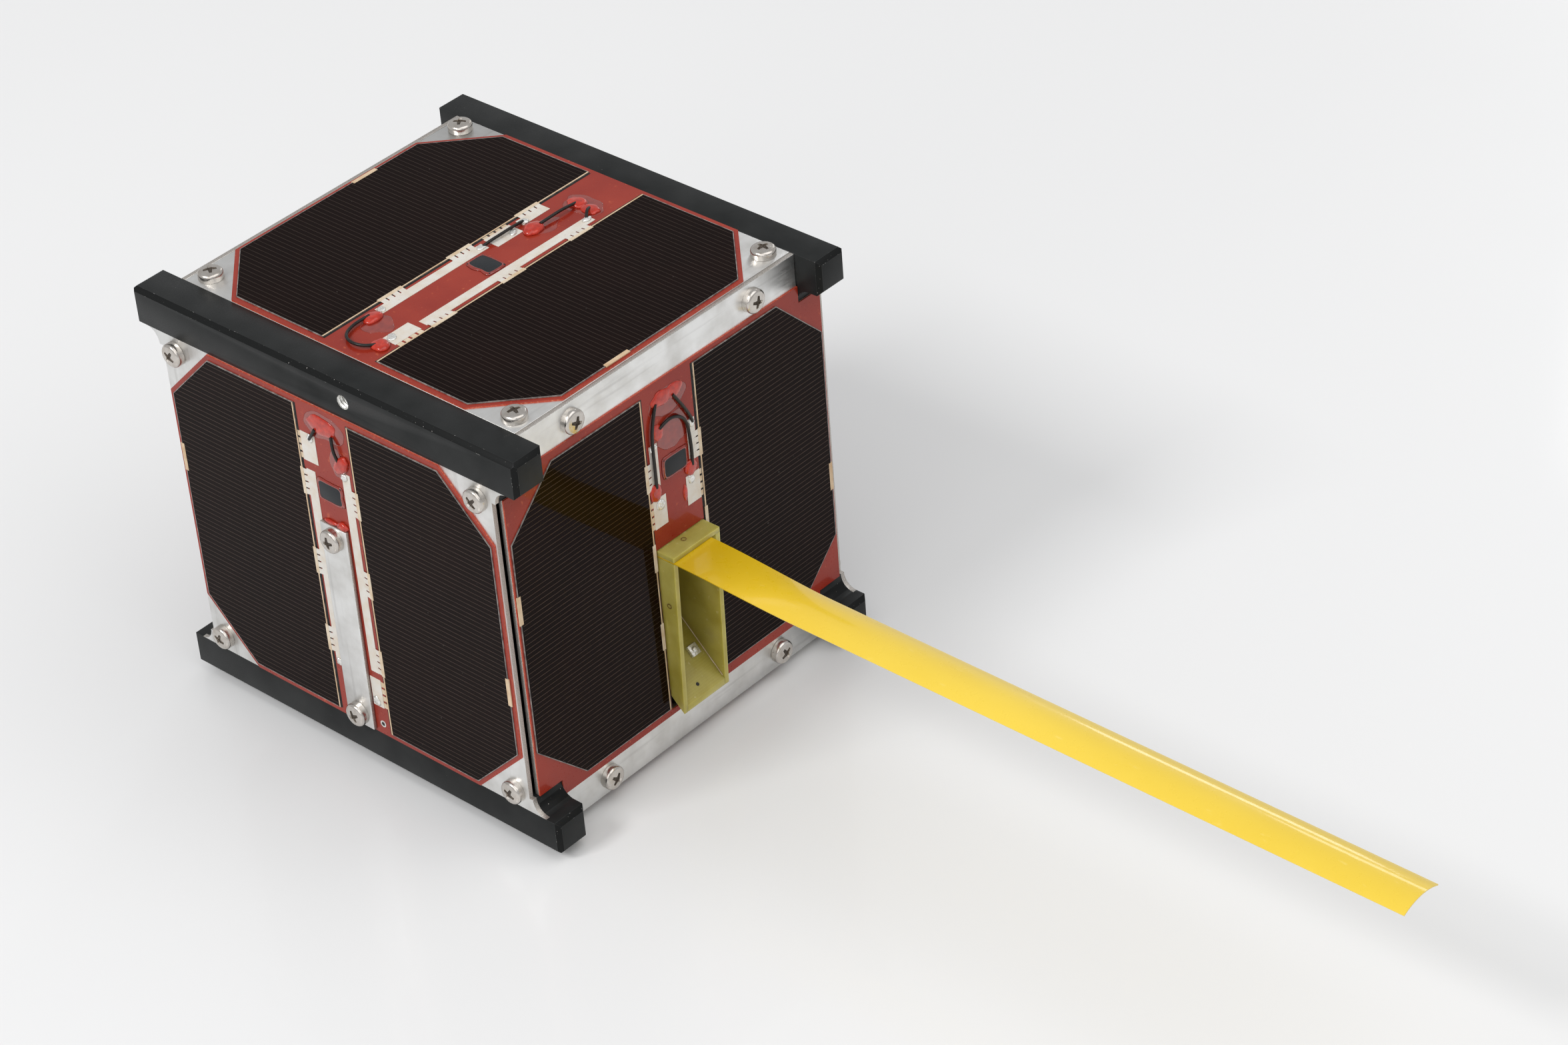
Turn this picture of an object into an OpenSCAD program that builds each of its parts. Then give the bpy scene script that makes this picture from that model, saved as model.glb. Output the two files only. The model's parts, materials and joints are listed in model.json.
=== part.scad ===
// Small cube satellite lying on its side, with one deployed tape antenna.
// All sizes are in millimetres. Faces: top and bottom (+Z, -Z), left and right (-Y, +Y),
// front and rear (+X, -X). The antenna leaves the front face.

/* [Body] */
// Distance between the outer faces of two rails
body_w = 100; // [90:0.5:120]
// Length of each rail, from end to end
rail_len = 113.5; // [110:0.5:140]
// Side of the square rail
rail_w = 8.5; // [7:0.1:10]
// Chamfer on the outer long edge and on the ends of a rail
rail_chamfer = 1; // [0.2:0.1:1.6]
// Length of the body between its front and rear faces
body_len = 100; // [90:0.5:106]
// Radius of the hollow corner where a rail meets an end face
saddle_r = 3.4; // [2:0.1:4.5]

/* [Plates] */
// Thickness of a side plate
plate_t = 1.1; // [0.8:0.1:2]
// Air between a plate and what it lies beside
fit_gap = 0.1; // [0.05:0.05:0.3]
// Air between the upright edges of the side plates and the end plates
corner_gap = 0.8; // [0.4:0.1:1.5]
// Height of the bare bar along the top and bottom of an end plate
bar_h = 8; // [6:0.5:12]

/* [Solar panels] */
// Thickness of a circuit board
board_t = 0.35; // [0.2:0.05:1]
// Thickness of a solar cell with its cover glass
cell_t = 0.25; // [0.15:0.05:0.6]
// Width of a solar cell
cell_w = 39.7; // [30:0.1:40]
// Length of a solar cell
cell_l = 80.1; // [60:0.1:81]
// Leg of the corner cut off a solar cell
cell_cut = 13.4; // [8:0.2:16]
// Air between the antenna housing and the cells beside it
cell_gap = 0.75; // [0.3:0.05:2]
// How much higher the right cell of the front face was laid
cell_step = 0.8; // [0:0.1:1.2]
// Margin of board outside the outer edge of a cell
board_margin = 0.9; // [0.5:0.1:1.2]
// Width of the light sensor in the middle strip
sensor_w = 6.8; // [4:0.1:8]
// Height of the light sensor
sensor_h = 4.8; // [3:0.1:6]
// Thickness of the light sensor
sensor_t = 0.35; // [0.2:0.05:1]

/* [Strap] */
// Width of the strap on the left face
strap_w = 7.9; // [5:0.1:9]
// Length of the strap
strap_l = 52.5; // [40:0.5:53]
// Thickness of the strap
strap_t = 0.9; // [0.6:0.1:3]
// How far the strap leans, in degrees
strap_lean = 0.5; // [0:0.1:1]

/* [Screws] */
// Diameter of a screw head
head_d = 5.6; // [5:0.1:6.5]
// Height of a screw head
head_h = 2.2; // [1.2:0.1:2.5]
// Distance of a panel screw from the inner face of the rail
screw_inset = 4; // [3.2:0.1:6]
// Distance of a panel screw from the end of its plate
screw_end = 3.8; // [3.2:0.1:6]

/* [Antenna] */
// Wall of the antenna housing
house_wall = 1.2; // [0.8:0.1:1.4]
// How far the housing stands out of the front face
house_proud = 5; // [4:0.5:8]
// How deep the housing reaches behind the front face
house_deep = 16; // [12:0.5:20]
// Height of the housing
house_h = 42; // [36:0.5:46]
// Width of the flat tape, measured along its arc
tape_w = 11.7; // [8:0.1:14.5]
// Air between the edges of the tape and the housing
tape_gap = 0.15; // [0.1:0.05:0.5]
// Thickness of the painted steel tape
tape_t = 0.25; // [0.2:0.05:0.4]
// Length of tape outside the housing
tape_free = 182; // [120:1:200]
// Radius of the curved cross-section of the deployed tape
tape_r = 12.5; // [10:0.5:25]
// Distance from the housing's mouth to the line where the tape folds
fold_out = 7; // [6.5:0.1:12]
// How far the tape sits to the left of the middle of the housing
tape_side = 1.25; // [0:0.05:1.3]
// How far the free tape points to the right, in degrees
tape_yaw = 0.7; // [0:0.1:2]
// How far the free tape droops, in degrees
tape_droop = 0.7; // [0:0.1:1]

/* [Mounting hole] */
// Tapping radius of the threaded hole in the top left rail
tap_r = 1.65; // [1.2:0.05:2]
// Depth of the threaded hole
tap_depth = 6; // [4:0.5:7]

/* [Hidden] */
$fn = 48;
eps = 0.01;

half = body_w / 2;
end_x = body_len / 2;                            // outer side of the end plates
rail_in = half - rail_w;                         // inner face of the rails
plate_in = half - plate_t;                       // the side plates are flush with the rails
end_plate_in = end_x - plate_t;
side_plate_x = end_plate_in + fit_gap;           // side plates reach to the end plates' backs
flat_plate_x = end_plate_in - fit_gap;           // top and bottom plates lie between them
end_plate_y = plate_in - corner_gap;             // half width of the end plates
house_w = tape_w + 2 * (tape_gap + house_wall);  // outside width of the antenna housing
strip_w = house_w + 2 * cell_gap;                // bare strip between the two cells of a face
board_x = strip_w / 2 + cell_w + board_margin;   // half width of a board across its cells
board_v = cell_l / 2 + 1.25;                     // half length of a board along its cells
board_cut = cell_cut + board_margin - 0.2;       // corner leg of a board
saddle_top = rail_in - saddle_r - fit_gap;       // where the hollow corner runs out
notch_h = half - saddle_top + fit_gap;           // corner notch of an end plate
saddle_back = 2;                                 // metal of the corner behind the end face
tap_x = 7.5;                                     // place of the threaded hole along the rail
strap_mid = [-0.6, -14.4];                       // centre of the strap on the left face

house_top = 1.5;                                 // upper side of the housing
house_low = house_top - house_h;                 // lower front edge of the housing
house_front = end_x + house_proud;
house_back = end_x - house_deep;
house_low_front = house_front - 1.3;             // the mouth leans back a little
house_in = house_w / 2 - house_wall;             // inside half width
roof_under = house_top - house_wall;
ramp_t = 1.2;
cut_gap = 0.2;                                   // air around the housing in plate and board
tape_z = roof_under - fit_gap;                   // upper side of the tape at its root
fold_x = house_front + fold_out;                 // line where the tape folds
tape_tip = house_front + tape_free;              // how far the tape reaches
fold_gap = tape_t + tape_w / 2 * sin(tape_yaw) + fit_gap; // the tape clears the root as it folds
tape_low = tape_z - tape_t;                      // underside of the tape at its root
tape_half_angle = tape_w / tape_r / 2 * 180 / PI;
resistor = [3.2, 1.1, 3.4];

floor_z = half + head_h;                         // the satellite stands on its screw heads
shift_x = (tape_tip - rail_len / 2) / 2;         // middle of the whole length

module place() { translate([-shift_x, 0, floor_z]) children(); }

// Turns a face drawn in u (right), v (up), w (out) onto the cube.
module on_face(side) {
    if (side == "top") children();
    if (side == "bottom") rotate([180, 0, 0]) children();
    if (side == "left") rotate([90, 0, 0]) children();
    if (side == "right") rotate([90, 0, 180]) children();
    if (side == "front") rotate([90, 0, 90]) children();
    if (side == "rear") rotate([90, 0, -90]) children();
}

module slab(low, thick) { translate([0, 0, low]) linear_extrude(thick) children(); }

// Rectangle of half sizes a and b with its four corners cut off by legs of c.
module cut_rect(a, b, c) {
    polygon([[-a + c, -b], [a - c, -b], [a, -b + c], [a, b - c],
             [a - c, b], [-a + c, b], [-a, b - c], [-a, -b + c]]);
}

// ---- rails ----

module rail_section() {
    polygon([[-half, rail_in], [-rail_in, rail_in], [-rail_in, half],
             [-half + rail_chamfer, half], [-half, half - rail_chamfer]]);
}

module rail_outline() {
    m = rail_in + rail_w / 2;
    translate([0, m]) cut_rect(rail_len / 2, rail_w / 2, rail_chamfer);
}

// The hollow corner under the rail at each end, seen from the side.
module saddle_outline(from_x, lap = 0) {
    for (s = [-1, 1]) scale([s, 1]) difference() {
        translate([from_x, saddle_top])
            square([end_x + saddle_r - from_x, rail_in - saddle_top + lap]);
        translate([end_x + saddle_r, rail_in - saddle_r]) circle(saddle_r);
        translate([end_x, saddle_top - eps]) square([saddle_r + eps, fit_gap + eps]);
    }
}

// One rail, drawn for the top left edge and mirrored to the others.
module rail(flip_y, flip_z) {
    place() mirror([0, flip_y, 0]) mirror([0, 0, flip_z]) {
        intersection() {
            rotate([90, 0, 90]) translate([0, 0, -rail_len / 2]) linear_extrude(rail_len) rail_section();
            rotate([90, 0, 0]) linear_extrude(body_w) rail_outline();
            mirror([0, 1, 0]) linear_extrude(body_w) rail_outline();
        }
        translate([0, -rail_in, 0]) rotate([90, 0, 0])
            linear_extrude(plate_in - fit_gap - rail_in) saddle_outline(end_x - saddle_back, eps);
    }
}

module rail_top_left() {
    color([0.13, 0.14, 0.14]) difference() {
        rail(0, 0);
        place() translate([tap_x, -half - eps, half - rail_w / 2])
            rotate([-90, 0, 0]) cylinder(r = tap_r, h = tap_depth + eps);
    }
}
module rail_top_right() { color([0.13, 0.14, 0.14]) rail(1, 0); }
module rail_bottom_left() { color([0.13, 0.14, 0.14]) rail(0, 1); }
module rail_bottom_right() { color([0.13, 0.14, 0.14]) rail(1, 1); }

// ---- plates ----

module flat_plate(side) {
    color([0.76, 0.76, 0.74]) place() on_face(side)
        slab(plate_in, plate_t) square([2 * flat_plate_x, 2 * (rail_in - fit_gap / 2)], center = true);
}

// Left and right plates have a foot at each corner that follows the rail's hollow corner.
module footed_plate(side) {
    color([0.76, 0.76, 0.74]) place() on_face(side) slab(plate_in, plate_t) {
        square([2 * side_plate_x, 2 * rail_in], center = true);
        for (s = [-1, 1]) scale([1, s]) saddle_outline(side_plate_x - saddle_back);
    }
}

module end_outline(grow = 0) {
    square([2 * end_plate_y, 2 * (half - notch_h)], center = true);
    square([2 * (rail_in - fit_gap), 2 * (half - grow)], center = true);
}

module housing_window() {
    translate([-house_w / 2 - cut_gap, house_low - cut_gap])
        square([house_w + 2 * cut_gap, house_h + 2 * cut_gap]);
}

module end_plate(side) {
    color([0.76, 0.76, 0.74]) place() on_face(side) slab(end_plate_in, plate_t) difference() {
        end_outline();
        if (side == "front") housing_window();
    }
}

module top_plate() { flat_plate("top"); }
module bottom_plate() { flat_plate("bottom"); }
module left_plate() { footed_plate("left"); }
module right_plate() { footed_plate("right"); }
module front_plate() { end_plate("front"); }
module rear_plate() { end_plate("rear"); }

// ---- boards, cells and sensors ----

module side_board(side) {
    color([0.55, 0.16, 0.13]) place() on_face(side)
        slab(half, board_t) cut_rect(board_x, board_v, board_cut);
}

module end_board(side) {
    color([0.5, 0.18, 0.16]) place() on_face(side) slab(end_x, board_t) difference() {
        end_outline(bar_h);
        if (side == "front") housing_window();
    }
}

// Outline of the cell on the +u side: its two outer corners are cut off.
module cell_outline() {
    a = strip_w / 2;
    b = a + cell_w;
    v = cell_l / 2;
    polygon([[a, -v], [b - cell_cut, -v], [b, -v + cell_cut], [b, v - cell_cut], [b - cell_cut, v], [a, v]]);
}

module cells(side, low) {
    color([0.12, 0.09, 0.08]) place() on_face(side)
        for (s = [-1, 1]) translate([0, side == "front" && s > 0 ? cell_step : 0, 0])
            slab(low + board_t, cell_t) scale([s, 1]) cell_outline();
}

module top_board() { side_board("top"); }
module bottom_board() { side_board("bottom"); }
module left_board() { side_board("left"); }
module right_board() { side_board("right"); }
module front_board() { end_board("front"); }
module rear_board() { end_board("rear"); }
module top_cells() { cells("top", half); }
module bottom_cells() { cells("bottom", half); }
module left_cells() { cells("left", half); }
module right_cells() { cells("right", half); }
module front_cells() { cells("front", end_x); }
module rear_cells() { cells("rear", end_x); }

// Sides that carry a light sensor, with its place on the strip.
sensor_sides = [["top", 0.1, -0.1], ["bottom", 0.1, -0.1], ["left", -0.1, 20.2],
                ["right", -0.1, 20.2], ["front", 0.4, 20], ["rear", 0.4, 20]];

module sun_sensors() {
    color([0.2, 0.21, 0.22]) place() for (s = sensor_sides) {
        base = (s[0] == "front" || s[0] == "rear") ? end_x : half;
        on_face(s[0]) translate([s[1], s[2], base + board_t + sensor_t / 2])
            cube([sensor_w, sensor_h, sensor_t], center = true);
    }
}

// ---- strap, stack and screws ----

module left_strap() {
    color([0.78, 0.78, 0.75]) place() on_face("left")
        translate([strap_mid[0], strap_mid[1], half + board_t + strap_t / 2])
            rotate([0, 0, -strap_lean]) cube([strap_w, strap_l, strap_t], center = true);
}

module electronics_stack() {
    wide = 2 * (rail_in - 2);
    front = house_back - house_wall - 1;
    back = -end_plate_in + 5;
    tall = 2 * (plate_in - fit_gap);
    color([0.2, 0.35, 0.25]) place() translate([back, -wide / 2, -tall / 2]) cube([front - back, wide, tall]);
}

module bottom_screws() {
    color([0.7, 0.68, 0.66]) place() for (x = [-1, 1], y = [-1, 1])
        translate([x * (flat_plate_x - screw_end), y * (rail_in - screw_inset), -half - head_h])
            cylinder(d = head_d, h = head_h);
}

// ---- antenna housing ----

// Side wall that starts at y and reaches up to top.
module housing_wall(y, top) {
    slope = house_low_front - house_back;
    color([0.55, 0.55, 0.25]) place() translate([0, y + house_wall, 0]) rotate([90, 0, 0])
        linear_extrude(house_wall)
            polygon([[house_back, house_low + slope], [house_low_front, house_low],
                     [house_front, top], [house_back, top]]);
}

// The tape lies over the upper edge of the left wall.
module housing_left_wall() { housing_wall(-house_w / 2, tape_low - fit_gap); }
module housing_right_wall() { housing_wall(house_in, roof_under); }

module housing_roof() {
    color([0.55, 0.55, 0.25]) place() translate([house_back, -house_w / 2, roof_under])
        cube([house_front - house_back, house_w, house_wall]);
}

// Sloping floor of the housing, from its lower front edge up and inwards.
module housing_ramp() {
    slope = house_low_front - house_back - house_wall;
    t = ramp_t * sqrt(2);
    color([0.55, 0.55, 0.25]) place() translate([0, house_in, 0]) rotate([90, 0, 0])
        linear_extrude(2 * house_in)
            polygon([[house_low_front, house_low], [house_low_front, house_low + t],
                     [house_back + house_wall, house_low + slope + t],
                     [house_back + house_wall, house_low + slope]]);
}

module housing_back() {
    low = house_low + house_low_front - house_back;
    color([0.55, 0.55, 0.25]) place() translate([house_back, -house_in, low])
        cube([house_wall, 2 * house_in, roof_under - low]);
}

module burn_resistor() {
    t = ramp_t * sqrt(2);
    depth = 7;                                   // from the lower front edge, along X
    color([0.75, 0.73, 0.66]) place()
        translate([house_low_front - depth, house_in - resistor[0] / 2 - fit_gap, house_low + t + depth])
            rotate([0, 45, 0]) translate([0, 0, resistor[1] / 2])
                cube([resistor[2], resistor[0], resistor[1]], center = true);
}

// ---- tape ----

module antenna_root() {
    back = house_back + house_wall + fit_gap;
    color([0.85, 0.7, 0.15]) place() translate([back, -tape_side - tape_w / 2, tape_low])
        cube([fold_x - eps - back, tape_w, tape_t]);
}

// Points of an arc of radius r under the crest of the tape, from one edge to the other.
function tape_arc(r, steps) = [for (i = steps) let (a = tape_half_angle * i) [r * sin(a), r * cos(a) - tape_r]];

module tape_section() {
    polygon(concat(tape_arc(tape_r, [-1 : 0.25 : 1]), tape_arc(tape_r - tape_t, [1 : -0.25 : -1])));
}

module antenna_tape() {
    reach = (tape_tip - fold_x) / cos(tape_droop) / cos(tape_yaw);
    color([0.95, 0.8, 0.2]) place() translate([fold_x, -tape_side, tape_z])
        rotate([0, tape_droop, tape_yaw]) rotate([90, 0, 90])
            translate([0, 0, fold_gap]) linear_extrude(reach - fold_gap) tape_section();
}

rail_top_left();
rail_top_right();
rail_bottom_left();
rail_bottom_right();
top_plate();
bottom_plate();
left_plate();
right_plate();
front_plate();
rear_plate();
top_board();
bottom_board();
left_board();
right_board();
front_board();
rear_board();
top_cells();
bottom_cells();
left_cells();
right_cells();
front_cells();
rear_cells();
sun_sensors();
left_strap();
electronics_stack();
bottom_screws();
housing_roof();
housing_left_wall();
housing_right_wall();
housing_ramp();
housing_back();
burn_resistor();
antenna_root();
antenna_tape();
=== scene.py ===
import math

import bmesh
import bpy
from mathutils import Matrix, Vector, noise
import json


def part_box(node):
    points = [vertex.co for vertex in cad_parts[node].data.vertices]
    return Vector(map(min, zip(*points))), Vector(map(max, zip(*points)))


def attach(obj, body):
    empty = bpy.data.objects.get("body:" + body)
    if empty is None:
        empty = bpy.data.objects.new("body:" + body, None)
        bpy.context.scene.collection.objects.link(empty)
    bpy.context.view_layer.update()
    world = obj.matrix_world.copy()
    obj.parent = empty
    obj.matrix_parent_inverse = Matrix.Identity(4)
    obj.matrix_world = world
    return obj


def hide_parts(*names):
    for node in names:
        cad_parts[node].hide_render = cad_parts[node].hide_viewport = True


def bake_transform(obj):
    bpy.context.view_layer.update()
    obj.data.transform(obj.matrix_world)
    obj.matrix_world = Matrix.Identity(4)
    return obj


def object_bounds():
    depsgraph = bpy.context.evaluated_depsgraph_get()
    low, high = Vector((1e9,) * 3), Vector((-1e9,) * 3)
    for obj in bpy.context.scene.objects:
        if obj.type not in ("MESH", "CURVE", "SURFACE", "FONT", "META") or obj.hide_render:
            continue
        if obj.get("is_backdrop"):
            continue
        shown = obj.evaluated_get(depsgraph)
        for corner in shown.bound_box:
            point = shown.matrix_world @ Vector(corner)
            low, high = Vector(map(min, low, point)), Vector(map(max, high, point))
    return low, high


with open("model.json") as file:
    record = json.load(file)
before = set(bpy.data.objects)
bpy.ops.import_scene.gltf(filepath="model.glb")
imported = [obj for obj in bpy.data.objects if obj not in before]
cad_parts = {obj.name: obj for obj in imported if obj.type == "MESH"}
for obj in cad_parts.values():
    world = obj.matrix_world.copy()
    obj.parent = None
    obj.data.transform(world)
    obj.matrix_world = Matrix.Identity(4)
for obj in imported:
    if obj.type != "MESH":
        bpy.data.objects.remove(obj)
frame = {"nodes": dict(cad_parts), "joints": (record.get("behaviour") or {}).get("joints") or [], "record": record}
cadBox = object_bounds()
mm = 0.001
scene = bpy.context.scene
print("frame loaded:", len(frame["nodes"]), "nodes")

# The middle of the cube and the levels of its layers, all from the frame.
railTopLow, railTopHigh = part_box("rail_top_left")
railBottomLow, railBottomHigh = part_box("rail_bottom_right")
centre = Vector(((railTopLow.x + railTopHigh.x) / 2, (railTopLow.y + railBottomHigh.y) / 2,
                 (railTopHigh.z + railBottomLow.z) / 2))
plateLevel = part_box("top_plate")[1].z - centre.z
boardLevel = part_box("top_board")[1].z - centre.z
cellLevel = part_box("top_cells")[1].z - centre.z
strapLevel = centre.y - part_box("left_strap")[0].y

# Each face: its u axis and its outward axis w. v is up on the four upright faces.
faceAxes = {
    "top": ((1, 0, 0), (0, 0, 1)), "bottom": ((1, 0, 0), (0, 0, -1)),
    "left": ((1, 0, 0), (0, -1, 0)), "right": ((-1, 0, 0), (0, 1, 0)),
    "front": ((0, 1, 0), (1, 0, 0)), "rear": ((0, -1, 0), (-1, 0, 0)),
}


def faceMatrix(side):
    u, w = (Vector(axis) for axis in faceAxes[side])
    turn = Matrix((u, w.cross(u), w)).transposed().to_4x4()
    return Matrix.Translation(centre) @ turn


# A place on a face: u and v in millimetres, w in metres from the middle of the cube.
def onFace(side, u, v, w, spin=0.0):
    return faceMatrix(side) @ Matrix.Translation((u * mm, v * mm, w)) @ Matrix.Rotation(spin, 4, "Z")


# One procedural material, with short calls that add its nodes.
class Finish:
    def __init__(self, name, **sockets):
        self.material = bpy.data.materials.new(name)
        self.material.use_nodes = True
        self.nodes = self.material.node_tree.nodes
        self.links = self.material.node_tree.links
        self.shader = self.nodes["Principled BSDF"]
        self.place = self.nodes.new("ShaderNodeTexCoord").outputs["Object"]
        for label, value in sockets.items():
            self.put(self.shader, label.replace("_", " "), value)

    def put(self, node, label, value):
        socket = node.inputs[label]
        if isinstance(value, bpy.types.NodeSocket):
            self.links.new(value, socket)
        elif isinstance(value, tuple) and len(value) == 3 and socket.type == "RGBA":
            socket.default_value = (*value, 1)
        else:
            socket.default_value = value

    # Noise whose features are about size millimetres, longer where stretch is below 1.
    def noise(self, size, detail=3, stretch=(1, 1, 1)):
        mapping = self.nodes.new("ShaderNodeMapping")
        self.put(mapping, "Vector", self.place)
        mapping.inputs["Scale"].default_value = stretch
        texture = self.nodes.new("ShaderNodeTexNoise")
        self.put(texture, "Vector", mapping.outputs["Vector"])
        self.put(texture, "Scale", 1 / (size * mm))
        self.put(texture, "Detail", float(detail))
        return texture.outputs["Fac"]

    # The waves of a woven cloth along one axis, pitch millimetres apart: at scale 1 they are 0.314 m apart.
    def weave(self, pitch, direction):
        texture = self.nodes.new("ShaderNodeTexWave")
        texture.bands_direction = direction
        self.put(texture, "Vector", self.place)
        self.put(texture, "Scale", 0.314 / (pitch * mm))
        self.put(texture, "Distortion", 1.2)
        return texture.outputs["Fac"]

    def along(self, axis):
        node = self.nodes.new("ShaderNodeSeparateXYZ")
        self.put(node, "Vector", self.place)
        return node.outputs[axis]

    def span(self, value, low, high, toLow=0.0, toHigh=1.0):
        node = self.nodes.new("ShaderNodeMapRange")
        self.put(node, "Value", value)
        limits = {"From Min": low, "From Max": high, "To Min": toLow, "To Max": toHigh}
        for label, number in limits.items():
            self.put(node, label, number)
        return node.outputs["Result"]

    # Patches of noise that begin at low and are full at high.
    def patches(self, size, detail, low, high, toLow=0.0, toHigh=1.0, stretch=(1, 1, 1)):
        return self.span(self.noise(size, detail, stretch), low, high, toLow, toHigh)

    def mix(self, factor, a, b):
        node = self.nodes.new("ShaderNodeMix")
        node.data_type = "RGBA"
        self.links.new(factor, node.inputs[0])
        for slot, colour in ((6, a), (7, b)):  # the colour inputs of the node
            if isinstance(colour, tuple):
                node.inputs[slot].default_value = (*colour, 1)
            else:
                self.links.new(colour, node.inputs[slot])
        return node.outputs[2]

    def add(self, a, b):
        node = self.nodes.new("ShaderNodeMath")
        node.operation = "ADD"
        self.links.new(a, node.inputs[0])
        self.links.new(b, node.inputs[1])
        return node.outputs[0]

    def colour(self, value):
        self.put(self.shader, "Base Color", value)

    def rough(self, value):
        self.put(self.shader, "Roughness", value)

    def bump(self, height, depth, strength=1.0):
        node = self.nodes.new("ShaderNodeBump")
        self.put(node, "Height", height)
        self.put(node, "Distance", depth * mm)
        self.put(node, "Strength", strength)
        self.put(self.shader, "Normal", node.outputs["Normal"])


noiseRange = (0.3, 0.7)  # where most values of the noise lie


# Most finishes are layers: two tones in clouds, with marks of other tones over them. Clouds, marks and
# roughness are (size in mm, detail, from, to), and the bump is (size in mm, detail, depth in mm, strength).
def layered(name, clouds, tones, rough, bump=None, marks=(), **sockets):
    look = Finish(name, **sockets)
    colour = look.mix(look.patches(*clouds), *tones)
    for patches, tone in marks:
        colour = look.mix(look.patches(*patches), colour, tone)
    look.colour(colour)
    size, detail, smoothest, roughest = rough
    look.rough(look.patches(size, detail, *noiseRange, smoothest, roughest))
    if bump:
        size, detail, depth, strength = bump
        look.bump(look.noise(size, detail), depth, strength)
    return look.material


# Contact metal under a thin flux: pale, with warmer clouds and darker marks.
def contactMetal(name, pale, warm, metal):
    return layered(name, (2.6, 4, 0.38, 0.68), (pale, warm), (0.4, 3, 0.36, 0.55), (0.35, 3, 0.012, 0.5),
                   [((0.5, 4, 0.64, 0.74, 0.0, 0.35), tuple(0.62 * part for part in warm))],
                   Metallic=metal, Specular_IOR_Level=0.4)


# Rolled sheet: long fine streaks, faint clouds and a few darker rubs.
def rolledAluminium(name, streak, tone=0.80):
    look = Finish(name, Metallic=1.0, Anisotropic=0.25)
    line = look.noise(0.22, 4, streak)
    cloud = look.noise(6, 4)
    dull = (tone * 0.80, tone * 0.79, tone * 0.765)
    base = look.mix(look.span(cloud, 0.35, 0.7), (tone, tone, tone * 0.985), dull)
    rub = look.patches(1.6, 5, 0.58, 0.74, 0.0, 0.50, streak)
    look.colour(look.mix(rub, base, (tone * 0.62, tone * 0.61, tone * 0.59)))
    look.rough(look.span(look.add(line, cloud), 0.7, 1.3, 0.30, 0.50))
    look.bump(line, 0.010, 0.55)
    return look.material


# Yellow-green laminate, a little translucent, with the weave of its cloth just showing.
def glassEpoxy():
    look = Finish("yellow_glass_epoxy", Subsurface_Weight=0.75, Subsurface_Scale=0.003, Coat_Weight=0.3,
                  Coat_Roughness=0.12, Coat_IOR=1.35)
    look.shader.inputs["Subsurface Radius"].default_value = (1.0, 0.95, 0.55)
    weaves = [look.weave(0.42, axis) for axis in "XZY"]
    cloth = look.add(look.add(weaves[0], weaves[1]), weaves[2])
    cloud = look.noise(7, 4)
    tone = look.span(look.add(look.span(cloth, 0.0, 3.0, 0.0, 0.10), cloud), 0.40, 0.75)
    base = look.mix(tone, (0.33, 0.275, 0.042), (0.44, 0.385, 0.095))
    look.colour(look.mix(look.patches(0.9, 4, 0.66, 0.78, 0.0, 0.4), base, (0.66, 0.60, 0.38)))
    look.rough(look.span(cloud, *noiseRange, 0.30, 0.48))
    look.bump(cloth, 0.003, 0.3)
    return look.material


# Painted shade near the housing, where the cube shades the tape, fading to the lit yellow further out, as x grows.
def yellowPaint():
    look = Finish("yellow_tape_paint", Coat_Weight=0.8, Coat_Roughness=0.07, Coat_IOR=1.45)
    cloud = look.patches(30, 4, 0.35, 0.65, stretch=(0.35, 1, 1))
    shadedYellow = look.mix(cloud, (0.70, 0.440, 0.003), (0.77, 0.50, 0.010))
    litYellow = look.mix(cloud, (0.76, 0.535, 0.035), (0.83, 0.60, 0.058))
    base = look.mix(look.span(look.along("X"), -0.035, 0.02), shadedYellow, litYellow)
    scuff = look.patches(1.1, 5, 0.66, 0.76, 0.0, 0.30, (0.3, 1, 1))
    look.colour(look.mix(scuff, base, (0.90, 0.72, 0.22)))
    look.rough(look.patches(2.0, 4, *noiseRange, 0.24, 0.38))
    look.bump(look.noise(0.8, 3), 0.004, 0.4)
    return look.material


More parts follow.
